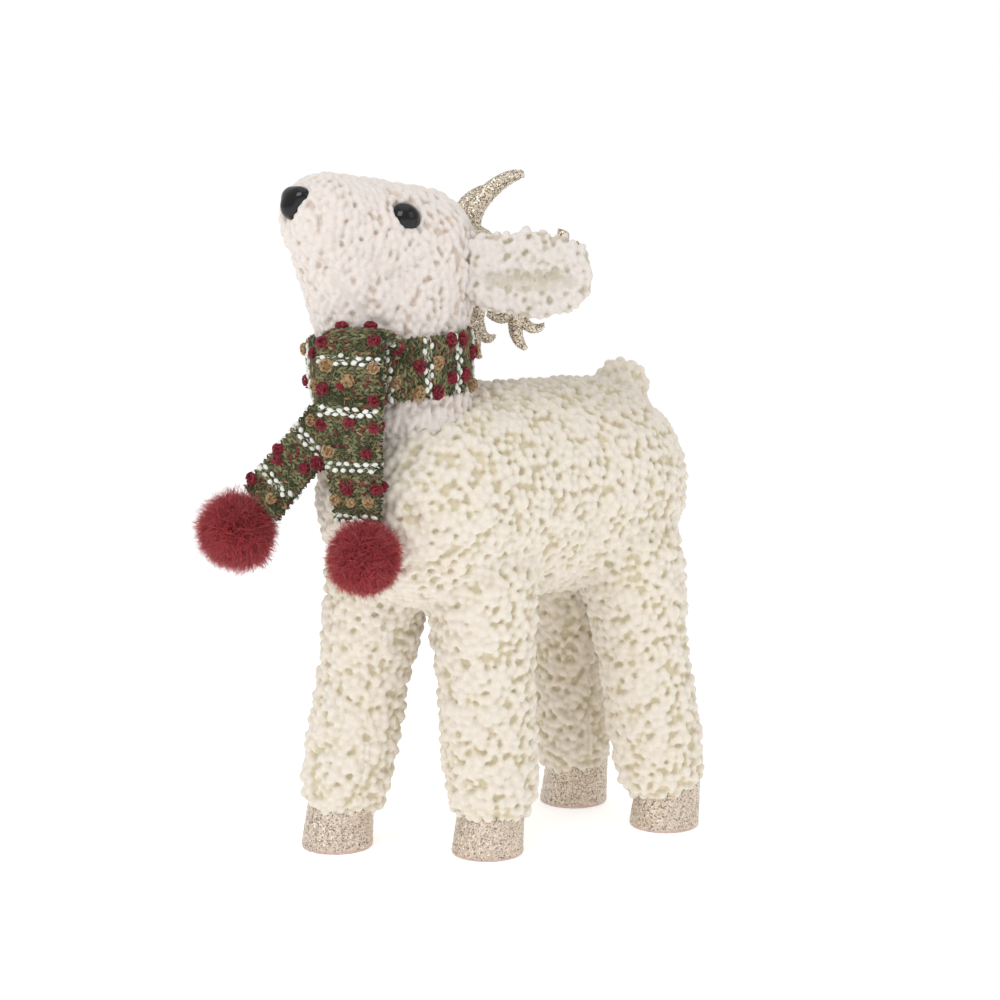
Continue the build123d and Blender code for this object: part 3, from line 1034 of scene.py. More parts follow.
@dataclass
class Ear:
    """A flat padded leaf with a fold along its middle, sewn on at its root."""

    side: str
    heading: float = math.radians(40)
    droop: float = math.radians(2)
    root: Point = mm(22, -11.8, 228.5)
    length: float = 48 * MM
    root_half: float = 13 * MM
    half: float = 17.5 * MM
    thickness: float = 5.8 * MM
    pile: float = 1.5 * MM
    tuck: float = -4.5 * MM

    @property
    def hand(self) -> int:
        """One for the left ear, minus one for the right."""
        return 1 if self.side == "left" else -1

    def _half_width(self, share: float, upper: bool) -> float:
        """Half the leaf's width at a share of its length, above or below its middle."""
        stations = [0.0, 0.12, 0.5, 0.78, 0.9, 0.97, 1.0]
        tip = 0.70 if upper else 0.76
        widths = [
            self.root_half * 0.9, self.root_half * 1.04, self.half, self.half * 0.86,
            self.half * tip * 0.88,
        ]
        widths += [self.half * 0.36, self.half * 0.02]
        return float(np.interp(share, stations, widths)) - self.pile

    def _place(self, run: float, rise: float, out: float) -> Vector:
        """A point on the ear from metres along it, up it and out of its face."""
        base = Vector((self.root[0] * self.hand, self.root[1], self.root[2]))
        along = Vector(
            (self.hand * math.cos(self.heading), math.sin(self.heading), -math.sin(self.droop))
        ).normalized()
        face = along.cross(UP).normalized()
        return base + along * run + face.cross(along).normalized() * rise * -1 + face * out

    def backing(self) -> bpy.types.Object:
        """Build the padded leaf under the pile."""
        mesh = bmesh.new()
        across, along = 28, 40
        reach = self.length - self.pile
        loops = []
        for step in range(along + 1):
            share = 0.02 + 0.98 * (1 - (1 - step / along) ** 1.6)
            run = self.tuck + (reach - self.tuck) * share
            up, low = self._half_width(share, True), self._half_width(share, False)
            loop = []
            for turn in range(across * 2):
                angle = math.pi * turn / across
                side = math.cos(angle)
                width = (up if side > 0 else low) * math.copysign(abs(side) ** 0.8, side)
                plump = math.sqrt(max(0.0, 1 - side * side)) * min(1.0, (1.0 - share) * 7 + 0.12)
                fold = 1 - 0.8 * math.exp(
                    -(((width - 2.5 * MM) / (2.4 * MM)) ** 2)
                ) * min(1.0, (1 - share) * 4)
                out = math.copysign(1, math.sin(angle)) * plump * fold * (self.thickness / 2 - 0.2 * MM)
                loop.append(mesh.verts.new(self._place(run, width, out)))
            loops.append(loop)
        count = across * 2
        for low_loop, high_loop in zip(loops, loops[1:]):
            for step in range(count):
                after = (step + 1) % count
                mesh.faces.new((low_loop[step], low_loop[after], high_loop[after], high_loop[step]))
        mesh.faces.new(list(reversed(loops[0])))
        mesh.faces.new(loops[-1])
        bmesh.ops.recalc_face_normals(mesh, faces=mesh.faces)
        return voxel_skin(object_from(mesh, self.side + "_ear_backing"), 1.3 * MM, 3)

    def make(self, scatter: Tree) -> bpy.types.Object:
        """Grow the ear's fleece and hand it to the frame."""
        name = self.side + "_ear"
        backing = self.backing()
        stuff(backing, 1.2 * MM, pinned=self._is_fold)
        fleece = Fleece(
            name + "_fleece", 4.2 * MM, 3.0 * MM, 3.0 * MM, 2.55 * MM, 0.56 * MM, 1, EAR_FLEECE, 0.5 * MM,
            0.75, 1.25,
            comb=1.0, spin=0.5, seed=21,
            # Pressed grooves, with painted shade along them.
            creases=[
                (
                    [
                        self._place(8 * MM, 3 * MM, o),
                        self._place(22 * MM, 2.6 * MM, o),
                        self._place(37 * MM, 1 * MM, o),
                    ],
                    5.2 * MM,
                    1.5 * MM,
                )
                for o in (4 * MM, -4 * MM)
            ],
        )
        skin = fleece.grow(backing, scatter)
        drop(backing)
        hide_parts(name)
        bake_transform(skin, "animal", name, tuple(self._place(-3 * MM, 0, 0)), tuple(self._place(5 * MM, 0, 0)))
        return skin

    def _is_fold(self, place: Vector) -> bool:
        """Whether a point lies on the sewn fold or on the root seam."""
        base = Vector((self.root[0] * self.hand, self.root[1], self.root[2]))
        return abs(place.z - base.z - 2.5 * MM) < 1.3 * MM or (place - base).length < 5 * MM


def stuff(thing: bpy.types.Object, cap: float, pinned: object, frames: int = 20) -> None:
    """Let a skin swell under its stuffing, held at its seams.

    Args:
        thing: the closed skin.
        cap: the most that a point may move, in metres.
        pinned: tells whether a point is held.
        frames: length of the simulation.
    """
    rest = [v.co.copy() for v in thing.data.vertices]
    held = thing.vertex_groups.new(name="held")
    held.add([v.index for v in thing.data.vertices if pinned(v.co)], 1.0, "REPLACE")
    cloth = thing.modifiers.new("stuffing", "CLOTH")
    settings = cloth.settings
    settings.use_pressure = True
    settings.uniform_pressure_force = 4.0
    settings.mass = 0.15
    settings.tension_stiffness = settings.compression_stiffness = 8.0
    settings.bending_stiffness = 0.3
    settings.vertex_group_mass = "held"
    settings.effector_weights.gravity = 0.0
    cloth.point_cache.frame_start, cloth.point_cache.frame_end = 1, frames
    scene = bpy.context.scene
    for step in range(1, frames + 1):
        scene.frame_set(step)
    freeze(thing)
    scene.frame_set(1)
    for vertex, before in zip(thing.data.vertices, rest):
        move = vertex.co - before
        if move.length > cap:
            vertex.co = before + move * (cap / move.length)
    thing.data.update()


# ------------------------------------------------------------------ scarf


def hinge(name: str) -> tuple[Vector, Vector]:
    """Where a joint of the record sits, and its axis."""
    for joint in frame["record"]["behaviour"]["joints"]:
        if joint["name"] == name:
            return Vector(joint["pos_m"]), Vector(joint["axis"]).normalized()
    raise ValueError(name)


class Yarn(Enum):
    """The four yarns of the scarf."""

    OLIVE = 0
    RED = 1
    TAN = 2
    WHITE = 3


YARN_FINISH = {Yarn.OLIVE: OLIVE_YARN, Yarn.RED: RED_YARN, Yarn.TAN: TAN_YARN, Yarn.WHITE: WHITE_YARN}


@dataclass
class Seeds:
    """Places where one repeated shape is set: position, lead direction, up direction, size and tone."""

    places: list = field(default_factory=list)
    leads: list = field(default_factory=list)
    ups: list = field(default_factory=list)
    sizes: list = field(default_factory=list)
    tones: list = field(default_factory=list)

    def add(self, place: Vector, lead: Vector, up: Vector, size: tuple, tone: float) -> None:
        """Add one place."""
        self.places.append(tuple(place))
        self.leads.append(tuple(lead))
        self.ups.append(tuple(up))
        self.sizes.append(tuple(size))
        self.tones.append(tone)

    def cloud(self, name: str) -> bpy.types.Object:
        """Turn the places into a mesh of loose points with attributes."""
        cloud = mesh_from(name, self.places, [])
        for label, values in (("lead", self.leads), ("up", self.ups), ("size", self.sizes)):
            store = cloud.data.attributes.new(label, "FLOAT_VECTOR", "POINT")
            store.data.foreach_set("vector", np.array(values, dtype=np.float32).ravel())
        store = cloud.data.attributes.new("tone", "FLOAT", "POINT")
        store.data.foreach_set("value", self.tones)
        return cloud


def sowing_tree() -> Tree:
    """A tree that sets one shape on each point of a cloud, turned by the points' own directions."""
    tree = Tree(
        "sow_shapes", Shape=("NodeSocketObject", None), Finish=(
            "NodeSocketMaterial", None,
        ), Swell=("NodeSocketFloat", 1.0)
    )

    def read(label: str) -> bpy.types.NodeSocket:
        """A vector attribute of the points."""
        return tree.node(
            "GeometryNodeInputNamedAttribute", {"data_type": "FLOAT_VECTOR"}, {0: label},
        ).outputs[0]

    facing = tree.node(
        "FunctionNodeAxesToRotation",
        {"primary_axis": "Z", "secondary_axis": "X"},
        {0: read("up"), 1: read("lead")},
    )
    size = tree.node(
        "ShaderNodeVectorMath", {"operation": "SCALE"}, {0: read("size"), "Scale": tree.given("Swell")},
    )
    shape = tree.node("GeometryNodeObjectInfo", {"transform_space": "ORIGINAL"}, {0: tree.given("Shape")})
    copies = tree.node(
        "GeometryNodeInstanceOnPoints",
        None,
        {
            "Points": tree.given("Geometry"),
            "Instance": shape.outputs["Geometry"],
            "Rotation": facing.outputs[0],
            "Scale": size.outputs[0],
        },
    )
    tree.finish(copies.outputs[0], tree.given("Finish"))
    return tree


def bead(name: str, fine: int = 2) -> bpy.types.Object:
    """A unit bead of yarn, one long, wide and tall, pinched a little at its ends."""
    mesh = bmesh.new()
    bmesh.ops.create_icosphere(mesh, subdivisions=fine, radius=0.5)
    for vertex in mesh.verts:
        vertex.co.y *= 1 - 0.5 * abs(vertex.co.x)
        vertex.co.z *= 1 - 0.5 * abs(vertex.co.x)
    made = object_from(mesh, name)
    smooth_shade(made)
    return made


def join(name: str, things: list[bpy.types.Object]) -> bpy.types.Object:
    """Join objects into one."""
    with bpy.context.temp_override(active_object=things[0], selected_editable_objects=things):
        bpy.ops.object.join()
    things[0].name = name
    return things[0]


@dataclass
class Knit:
    """A knitted strip of scarf, laid along a line with its own face directions."""

    name: str
    line: list[Vector]
    faces: list[Vector]
    width: float
    rows: list[float]
    bobbles: list[tuple[float, float, Yarn]]
    thickness: float = 2.6 * MM
    spread: list[float] | None = None
    course: float = 1.3 * MM
    pitch: float = 1.75 * MM
    closed: bool = False
    both: bool = True
    seed: int = 5

    def __post_init__(self) -> None:
        """Measure the line."""
        gaps = [0.0]
        for a, b in zip(self.line, self.line[1:]):
            gaps.append(gaps[-1] + (b - a).length)
        self.marks = gaps
        self.length = gaps[-1]

    def _sample(self, values: list, along: float) -> Vector | float:
        """Read a list of vectors or numbers at metres along the line, smoothly."""
        along = max(0.0, min(self.length, along))
        index = max(0, min(len(self.marks) - 2, int(np.searchsorted(self.marks, along)) - 1))
        share = (along - self.marks[index]) / max(1e-9, self.marks[index + 1] - self.marks[index])
        return values[index] * (1 - share) + values[index + 1] * share

    def axes(self, along: float) -> tuple[Vector, Vector, Vector, Vector]:
        """Middle, run, across and out directions at metres along the strip."""
        step = 0.8 * MM
        middle = self._sample(self.line, along)
        run = (self._sample(self.line, along + step) - self._sample(self.line, along - step)).normalized()
        out = self._sample(self.faces, along)
        across = run.cross(out).normalized()
        return middle, run, across, across.cross(run).normalized()

    def half(self, along: float) -> float:
        """Half the strip's width at metres along it."""
        share = self._sample(self.spread, along) if self.spread else 1.0
        ripple = 0.5 * MM * noise.noise(Vector((along * 130, self.seed, 0)))
        return self.width / 2 * share + ripple

    def place(self, along: float, side: float, lift: float) -> Vector:
        """A point at metres along, from -1 to 1 across, and metres out of the middle surface."""
        middle, _, across, out = self.axes(along)
        wave = 0.5 * MM * noise.noise(Vector((along * 90, side * 1.7, self.seed + 4)))
        curl = -1.1 * MM * abs(side) ** 3
        return middle + across * side * self.half(along) + out * (lift + wave + curl)

    def slab(self) -> bpy.types.Object:
        """Build the strip's closed backing cloth."""
        mesh = bmesh.new()
        stations = max(8, int(self.length / (1.3 * MM)))
        ring = 40
        loops = []
        for step in range(stations + (0 if self.closed else 1)):
            along = self.length * step / stations
            loop = []
            for turn in range(ring):
                angle = math.tau * turn / ring
                side = math.copysign(abs(math.cos(angle)) ** 0.5, math.cos(angle))
                lift = math.copysign(abs(math.sin(angle)) ** 0.6, math.sin(angle)) * self.thickness / 2
                loop.append(mesh.verts.new(self.place(along, side * 0.97, lift)))
            loops.append(loop)
        pairs = list(zip(loops, loops[1:]))
        if self.closed:
            pairs.append((loops[-1], loops[0]))
        for low, high in pairs:
            for turn in range(ring):
                after = (turn + 1) % ring
                mesh.faces.new((low[turn], low[after], high[after], high[turn]))
        if not self.closed:
            for loop in (loops[0], loops[-1]):
                mid = mesh.verts.new(sum((v.co for v in loop), Vector()) / ring)
                for turn in range(ring):
                    mesh.faces.new((loop[turn], loop[(turn + 1) % ring], mid))
        bmesh.ops.recalc_face_normals(mesh, faces=mesh.faces)
        made = object_from(mesh, self.name)
        store = made.data.attributes.new("tone", "FLOAT", "POINT")
        store.data.foreach_set("value", [0.12] * len(made.data.vertices))
        smooth_shade(made)
        return made

    def _stitches(self, sown: dict[Yarn, Seeds], dice: random.Random, face: int) -> None:
        """Set the knitted courses over one face."""
        courses = int(self.length / self.course)
        for row in range(courses):
            along = (row + 0.5) * self.length / courses
            count = max(4, int(2 * self.half(along) / self.pitch))
            near_red = self._near_bobble(along, Yarn.RED)
            slant = math.radians(24) * (1 if row % 2 else -1)
            for stitch in range(count):
                side = -1 + 2 * (stitch + 0.5 + dice.uniform(-0.2, 0.2)) / count
                at = along + dice.uniform(-0.25, 0.25) * MM
                _, run, across, out = self.axes(at)
                lead = across * math.cos(slant) + run * (math.sin(slant) + dice.uniform(-0.15, 0.15))
                place = self.place(
                    at, side, face * (self.thickness / 2 - 0.1 * MM) * (1 - 0.4 * abs(side) ** 6),
                )
                patch = noise.noise(Vector((at * 95, side * 1.6, self.seed * 3.1 + face)))
                tone = 0.42 + dice.uniform(-0.3, 0.42)
                if patch > 0.18:
                    tone *= 0.12
                tint = Yarn.OLIVE
                if dice.random() < 0.05:
                    tint = Yarn.TAN
                if near_red and dice.random() < 0.16:
                    tint = Yarn.RED
                length = dice.uniform(2.3, 3.1) * MM
                thick = dice.uniform(0.85, 1.15) * MM
                sown[tint].add(place, lead, out * face, (length, thick, thick), tone)

    def _near_bobble(self, along: float, tint: Yarn) -> bool:
        """Whether a bobble of that yarn sits near a place along the strip."""
        return any(abs(along - at) < 4.5 * MM for at, _, kind in self.bobbles if kind == tint)

    def _rows(self, sown: dict[Yarn, Seeds], dice: random.Random, face: int) -> None:
        """Set the double rows of white slubs."""
        for at in self.rows:
            count = max(4, int(2 * self.half(at) / (1.9 * MM)))
            for slub in range(count):
                side = -0.94 + 1.88 * (slub + 0.5 + dice.uniform(-0.18, 0.18)) / count
                along = at + (1.0 if slub % 2 else -1.0) * MM + dice.uniform(-0.55, 0.55) * MM
                if dice.random() < 0.08:
                    continue
                _, run, across, out = self.axes(along)
                place = self.place(along, side, face * (self.thickness / 2 + 0.55 * MM))
                lead = across + run * dice.uniform(-0.35, 0.35)
                length = dice.uniform(2.3, 3.0) * MM
                sown[Yarn.WHITE].add(
                    place, lead, out * face, (length, dice.uniform(1.5, 2.1) * MM, 1.5 * MM),
                    dice.uniform(0.4, 1.0),
                )
            for _ in range(count * 2):
                side = dice.uniform(-0.95, 0.95)
                along = at + dice.uniform(-1.6, 1.6) * MM
                _, run, across, out = self.axes(along)
                place = self.place(along, side, face * (self.thickness / 2 + 0.2 * MM))
                lead = across + run * dice.uniform(-0.8, 0.8)
                sown[Yarn.WHITE].add(place, lead, out * face, (2.0 * MM, 0.4 * MM, 0.4 * MM), 0.6)

    def _bobbles(self, sown: dict[Yarn, Seeds], dice: random.Random, face: int) -> None:
        """Set the bobbles: each a knot of short loops."""
        for at, side, tint in self.bobbles:
            _, run, across, out = self.axes(at)
            out = out * face
            centre = self.place(at, side, face * self.thickness / 2)
            size = dice.uniform(4.2, 6.2) * MM
            sown[tint].add(centre + out * 0.5 * MM, across, out, (size * 0.95, size * 0.72, size * 0.5), 0.25)
            for _ in range(LOOPS_IN_BOBBLE):
                turn = dice.uniform(0, math.tau)
                rise = dice.uniform(0.05, 1.0)
                ray = (
                    across * math.cos(turn) * math.sqrt(1 - rise * rise)
                    + run * math.sin(turn) * math.sqrt(1 - rise * rise) * 0.85
                )
                ray = ray + out * rise * 0.75
                twist = Vector((dice.uniform(-1, 1), dice.uniform(-1, 1), dice.uniform(-1, 1)))
                lead = ray.cross(twist).normalized()
                spot = centre + out * 0.5 * MM + ray * size * 0.46
                sown[tint].add(
                    spot, lead, ray, (dice.uniform(1.3, 2.6) * MM, 0.55 * MM, 0.8 * MM),
                    dice.uniform(0.1, 1.0),
                )

    def _fuzz(self, sown: dict[Yarn, Seeds], dice: random.Random, face: int) -> None:
        """Set loose fibres that stand off the face and the edges."""
        for _ in range(int(self.length * self.width * LOOSE_FIBRES)):
            along = dice.uniform(0.0, self.length)
            side = dice.uniform(-1.0, 1.0)
            _, run, across, out = self.axes(along)
            lead = (
                across * dice.uniform(-1, 1) + run * dice.uniform(-1, 1)
                + out * face * dice.uniform(0.1, 0.9)
            )
            place = self.place(along, side, face * (self.thickness / 2 + 0.5 * MM))
            tint = Yarn.OLIVE if dice.random() < 0.9 else Yarn.TAN
            sown[tint].add(
                place, lead, out * face + run * 0.1, (dice.uniform(1.4, 2.8) * MM, 0.13 * MM, 0.13 * MM),
                dice.uniform(0.3, 1.0),
            )

    def sow(self, tree: Tree, shape: bpy.types.Object, finishes: dict) -> bpy.types.Object:
        """Set all the yarn that shows and return it as one piece."""
        dice = random.Random(self.seed)
        sown = {tint: Seeds() for tint in Yarn}
        for face in (1, -1) if self.both else (1,):
            self._stitches(sown, dice, face)
            self._rows(sown, dice, face)
            self._bobbles(sown, dice, face)
            self._fuzz(sown, dice, face)
        groups = []
        for tint, seeds in sown.items():
            if seeds.places:
                cloud = seeds.cloud(self.name + "_" + tint.name.lower())
                groups.append(tree.apply(cloud, Shape=shape, Finish=finishes[tint]))
        return join(self.name + "_yarn", groups)


@dataclass
class Scarf:
    """The scarf: a collar round the neck, a front end folded over it and a stiff side end."""

    collar_centre: Point = mm(0, -34.2, 194.0)
    collar_half_width: float = 27.7 * MM
    collar_half_depth: float = 31.0 * MM
    collar_height: float = 23.5 * MM
    tilt: float = math.radians(3)
    knot: Point = mm(19.6, -64.2, 193.0)
    heading: float = math.radians(25)

    def collar(self) -> Knit:
        """Lay out the collar as a closed band, lower at the front."""
        line, faces = [], []
        steps = 96
        for step in range(steps + 1):
            turn = math.tau * step / steps + math.radians(70)
            flat = Vector(
                (math.cos(turn) * self.collar_half_width, math.sin(turn) * self.collar_half_depth, 0)
            )
            out = Vector(
                (math.cos(turn) / self.collar_half_width, math.sin(turn) / self.collar_half_depth, 0)
            ).normalized()
            lean = Matrix.Rotation(self.tilt, 3, "X")
            front = max(0.0, -math.sin(turn)) ** 3
            line.append(Vector(self.collar_centre) + lean @ flat + Vector((0, 0, -2.0 * MM * front)))
            faces.append((lean @ out + Vector((0, 0, -0.05))).normalized())
        around = sum((b - a).length for a, b in zip(line, line[1:]))
        rows = [around * s for s in (0.05, 0.145, 0.26, 0.37, 0.505, 0.61, 0.70, 0.785, 0.865, 0.945)]
        bobbles = []
        dice = random.Random(8)
        for index, (low, high) in enumerate(zip(rows, rows[1:] + [rows[0] + around])):
            for count in range(4):
                at = (low + (high - low) * (0.25 + 0.5 * (count % 2)) + dice.uniform(-1, 1) * MM) % around
                side = (-0.75, -0.2, 0.3, 0.8)[(count * 3 + index) % 4] + dice.uniform(-0.1, 0.1)
                bobbles.append((at, side, Yarn.TAN if (count + index) % 3 == 0 else Yarn.RED))
        return Knit(
            "scarf_collar_band", line, faces, self.collar_height, rows, bobbles, closed=True, both=False,
            seed=3,
        )

    def front(self) -> Knit:
        """Lay out the front end: over the collar's top edge, down over it and on down the chest."""
        place, _ = hinge("front_end_swing")
        out = Vector((math.sin(self.heading), -math.cos(self.heading), 0))
        down = Vector((0, 0, -1)) * math.cos(math.radians(6.5)) - out * math.sin(math.radians(6.5))
        top = Vector(self.knot) + out * 3.4 * MM - Vector((0, 0, 0.4)) * MM
        marks = [
            (top - out * 13.0 * MM + UP * 9.0 * MM, -out),
            (top - out * 11.6 * MM + UP * 12.2 * MM, -out * 0.6 + UP * 0.8),
            (top - out * 7.6 * MM + UP * 15.0 * MM, UP),
            (top - out * 3.4 * MM + UP * 13.9 * MM, UP * 0.8 + out * 0.6),
            (top - out * 0.9 * MM + UP * 10.0 * MM, out + UP * 0.3),
            (top + out * 0.2 * MM + UP * 5.0 * MM, out),
            (top + out * 0.2 * MM - UP * 2.0 * MM, out),
            (top - out * 0.9 * MM - UP * 8.5 * MM, out),
            (place + out * 0.6 * MM, out),
            (place + down * 16 * MM + out * 0.6 * MM, out),
            (place + down * 31 * MM, out),
            (place + down * 45 * MM, out),
        ]
        line, faces = smooth_line(marks, 90)
        knit = Knit("scarf_front_flap", line, faces, 27.0 * MM, [], [], seed=12)
        end = knit.length
        knit.rows = [end - 1.8 * MM, end - 21.5 * MM, end - 42.0 * MM, end - 62.0 * MM, end - 81 * MM]
        knit.spread = [
            1.04 - 0.32 * min(1.0, max(0.0, (m - 0.35 * end) / (0.65 * end))) ** 1.3 for m in knit.marks
        ]
        knit.bobbles = [
            (end - 8.5 * MM, 0.72, Yarn.TAN), (end - 8.5 * MM, -0.62, Yarn.TAN),
            (end - 8.0 * MM, 0.1, Yarn.TAN),
            (end - 13.5 * MM, -0.92, Yarn.RED), (end - 13.0 * MM, 0.2, Yarn.RED),
            (end - 27.0 * MM, -0.6, Yarn.RED), (end - 27.2 * MM, 0.72, Yarn.TAN),
            (end - 38.5 * MM, -0.1, Yarn.RED), (end - 37.0 * MM, 0.85, Yarn.RED),
            (end - 36.5 * MM, -0.85, Yarn.RED),
            (end - 48.5 * MM, -0.75, Yarn.RED), (end - 51.5 * MM, 0.78, Yarn.RED),
            (end - 47.5 * MM, 0.4, Yarn.RED),
            (end - 55.0 * MM, -0.02, Yarn.TAN), (end - 59.6 * MM, -0.78, Yarn.TAN),
            (end - 59.8 * MM, 0.62, Yarn.TAN),
            (end - 69.0 * MM, -0.72, Yarn.RED), (end - 68.0 * MM, 0.85, Yarn.RED),
            (end - 76.0 * MM, -0.3, Yarn.RED),
            (end - 75.0 * MM, 0.5, Yarn.RED),
        ]
        return knit

    def side(self) -> Knit:
        """Lay out the side end, which comes out from under the front end and stands off the chest."""
        place, axis = hinge("side_end_bend")
        tail, _ = hinge("side_pompom_swing")
        run = (tail - place).normalized()
        face = run.cross(axis).normalized() * -1
        if face.y > 0:
            face = -face
        start = place - run * 14 * MM + Vector((2.5, 2.2, -3.5)) * MM
        marks = [
            (start, face + Vector((0, 0, 0.2))),
            (place - run * 6 * MM + Vector((0.8, 0.2, -0.4)) * MM, face),
            (place, face),
            (place + run * 13 * MM, face),
            (place + run * 25 * MM + face * 0.6 * MM, face),
            (place + run * 37.5 * MM, face),
        ]
        line, faces = smooth_line(marks, 60)
        knit = Knit("scarf_side_strip", line, faces, 21.0 * MM, [], [], seed=23)
        end = knit.length
        knit.rows = [end - 10.5 * MM, end - 30.5 * MM, end - 49.5 * MM]
        knit.bobbles = [
            (end - 17.0 * MM, 0.45, Yarn.RED), (end - 20.0 * MM, 0.75, Yarn.RED),
            (end - 22.0 * MM, -0.6, Yarn.RED),
            (end - 27.0 * MM, -0.85, Yarn.RED), (end - 36.0 * MM, -0.9, Yarn.TAN),
            (end - 37.0 * MM, 0.4, Yarn.TAN),
            (end - 43.0 * MM, 0.0, Yarn.RED), (end - 5.0 * MM, 0.8, Yarn.RED),
            (end - 5.5 * MM, -0.4, Yarn.TAN),
        ]
        return knit

    def make(self, sow: Tree) -> list[bpy.types.Object]:
        """Build the three parts of the scarf and hand them to the frame."""
        shape = bead("yarn_bead")
        finishes = {tint: finish.make() for tint, finish in YARN_FINISH.items()}
        made = []
        front_place, _ = hinge("front_end_swing")
        side_place, _ = hinge("side_end_bend")
        tail, _ = hinge("side_pompom_swing")
        run = (tail - side_place).normalized()
        for knit, nodes in (
            (self.collar(), ("scarf_collar",)),
            (self.front(), ("scarf_knot", "scarf_front_end")),
            (self.side(), ("scarf_side_end",)),
        ):
            slab = knit.slab()
            yarn = knit.sow(sow, shape, finishes)
            dress(slab, finishes[Yarn.OLIVE])
            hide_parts(*nodes)
            for piece in (slab, yarn):
                if knit.closed:
                    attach(piece, "animal")
                elif "front" in knit.name:
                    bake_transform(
                        piece, "animal", "scarf_front", tuple(front_place + UP * 4 * MM),
                        tuple(front_place - UP * 4 * MM),
                    )
                else:
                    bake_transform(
                        piece, "animal", "scarf_side", tuple(side_place - run * 4 * MM),
                        tuple(side_place + run * 4 * MM),
                    )
            held = "hung" if not knit.closed else "gathered"
            made += [slab, yarn]
            log.info("%s: %.0f x %.0f mm", knit.name, knit.width / MM, knit.length / MM)
        drop(shape)
        return made


def smooth_line(marks: list[tuple[Vector, Vector]], steps: int) -> tuple[list[Vector], list[Vector]]:
    """Pass a smooth line through marks.

    Args:
        marks: positions with the outward direction at each.
        steps: number of stretches wanted.

    Returns:
        Positions and outward directions along the line.
    """
    places, faces = [m[0] for m in marks], [m[1].normalized() for m in marks]
    line, outs = [], []
    for step in range(steps + 1):
        where = (len(marks) - 1) * step / steps
        index = min(len(marks) - 2, int(where))
        share = where - index
        p = [places[max(0, min(len(marks) - 1, index + k))] for k in (-1, 0, 1, 2)]
        a, b = share * share, share * share * share
        spot = p[1] * 2 + (p[2] - p[0]) * share + (p[0] * 2 - p[1] * 5 + p[2] * 4 - p[3]) * a
        spot = (spot + (p[1] * 3 - p[0] - p[2] * 3 + p[3]) * b) * 0.5
        line.append(spot)
        outs.append(faces[index].lerp(faces[index + 1], share).normalized())
    return line, outs


# ------------------------------------------------------------------ pom-poms


def hair(name: str) -> bpy.types.Object:
    """One tapered, slightly bent strand of fur, a unit tall and a unit wide at its root."""
    mesh = bmesh.new()
    rings = []
    heights = (0.0, 0.35, 0.7)
    for height in heights:
        ring = []
        for step in range(3):
            turn = math.tau * step / 3
            width = 0.5 * (1 - height * 0.75)
            ring.append(mesh.verts.new((
                math.cos(turn) * width + 4.0 * height * height,
                math.sin(turn) * width,
                height,
            )))
        rings.append(ring)
    tip = mesh.verts.new((8.0, 0, 0.96))
    for low, high in zip(rings, rings[1:]):
        for step in range(3):
            after = (step + 1) % 3
            mesh.faces.new((low[step], low[after], high[after], high[step]))
    for step in range(3):
        mesh.faces.new((rings[-1][step], rings[-1][(step + 1) % 3], tip))
    mesh.faces.new(list(reversed(rings[0])))
    data = bpy.data.meshes.new(name)
    mesh.to_mesh(data)
    mesh.free()
    # reach runs from root to tip; the fur finish paints shade near the root by it.
    reach = data.attributes.new("reach", "FLOAT", "POINT")
    reach.data.foreach_set("value", [v.co.z for v in data.vertices])
    made = new_object(name, data)
    smooth_shade(made)
    return made


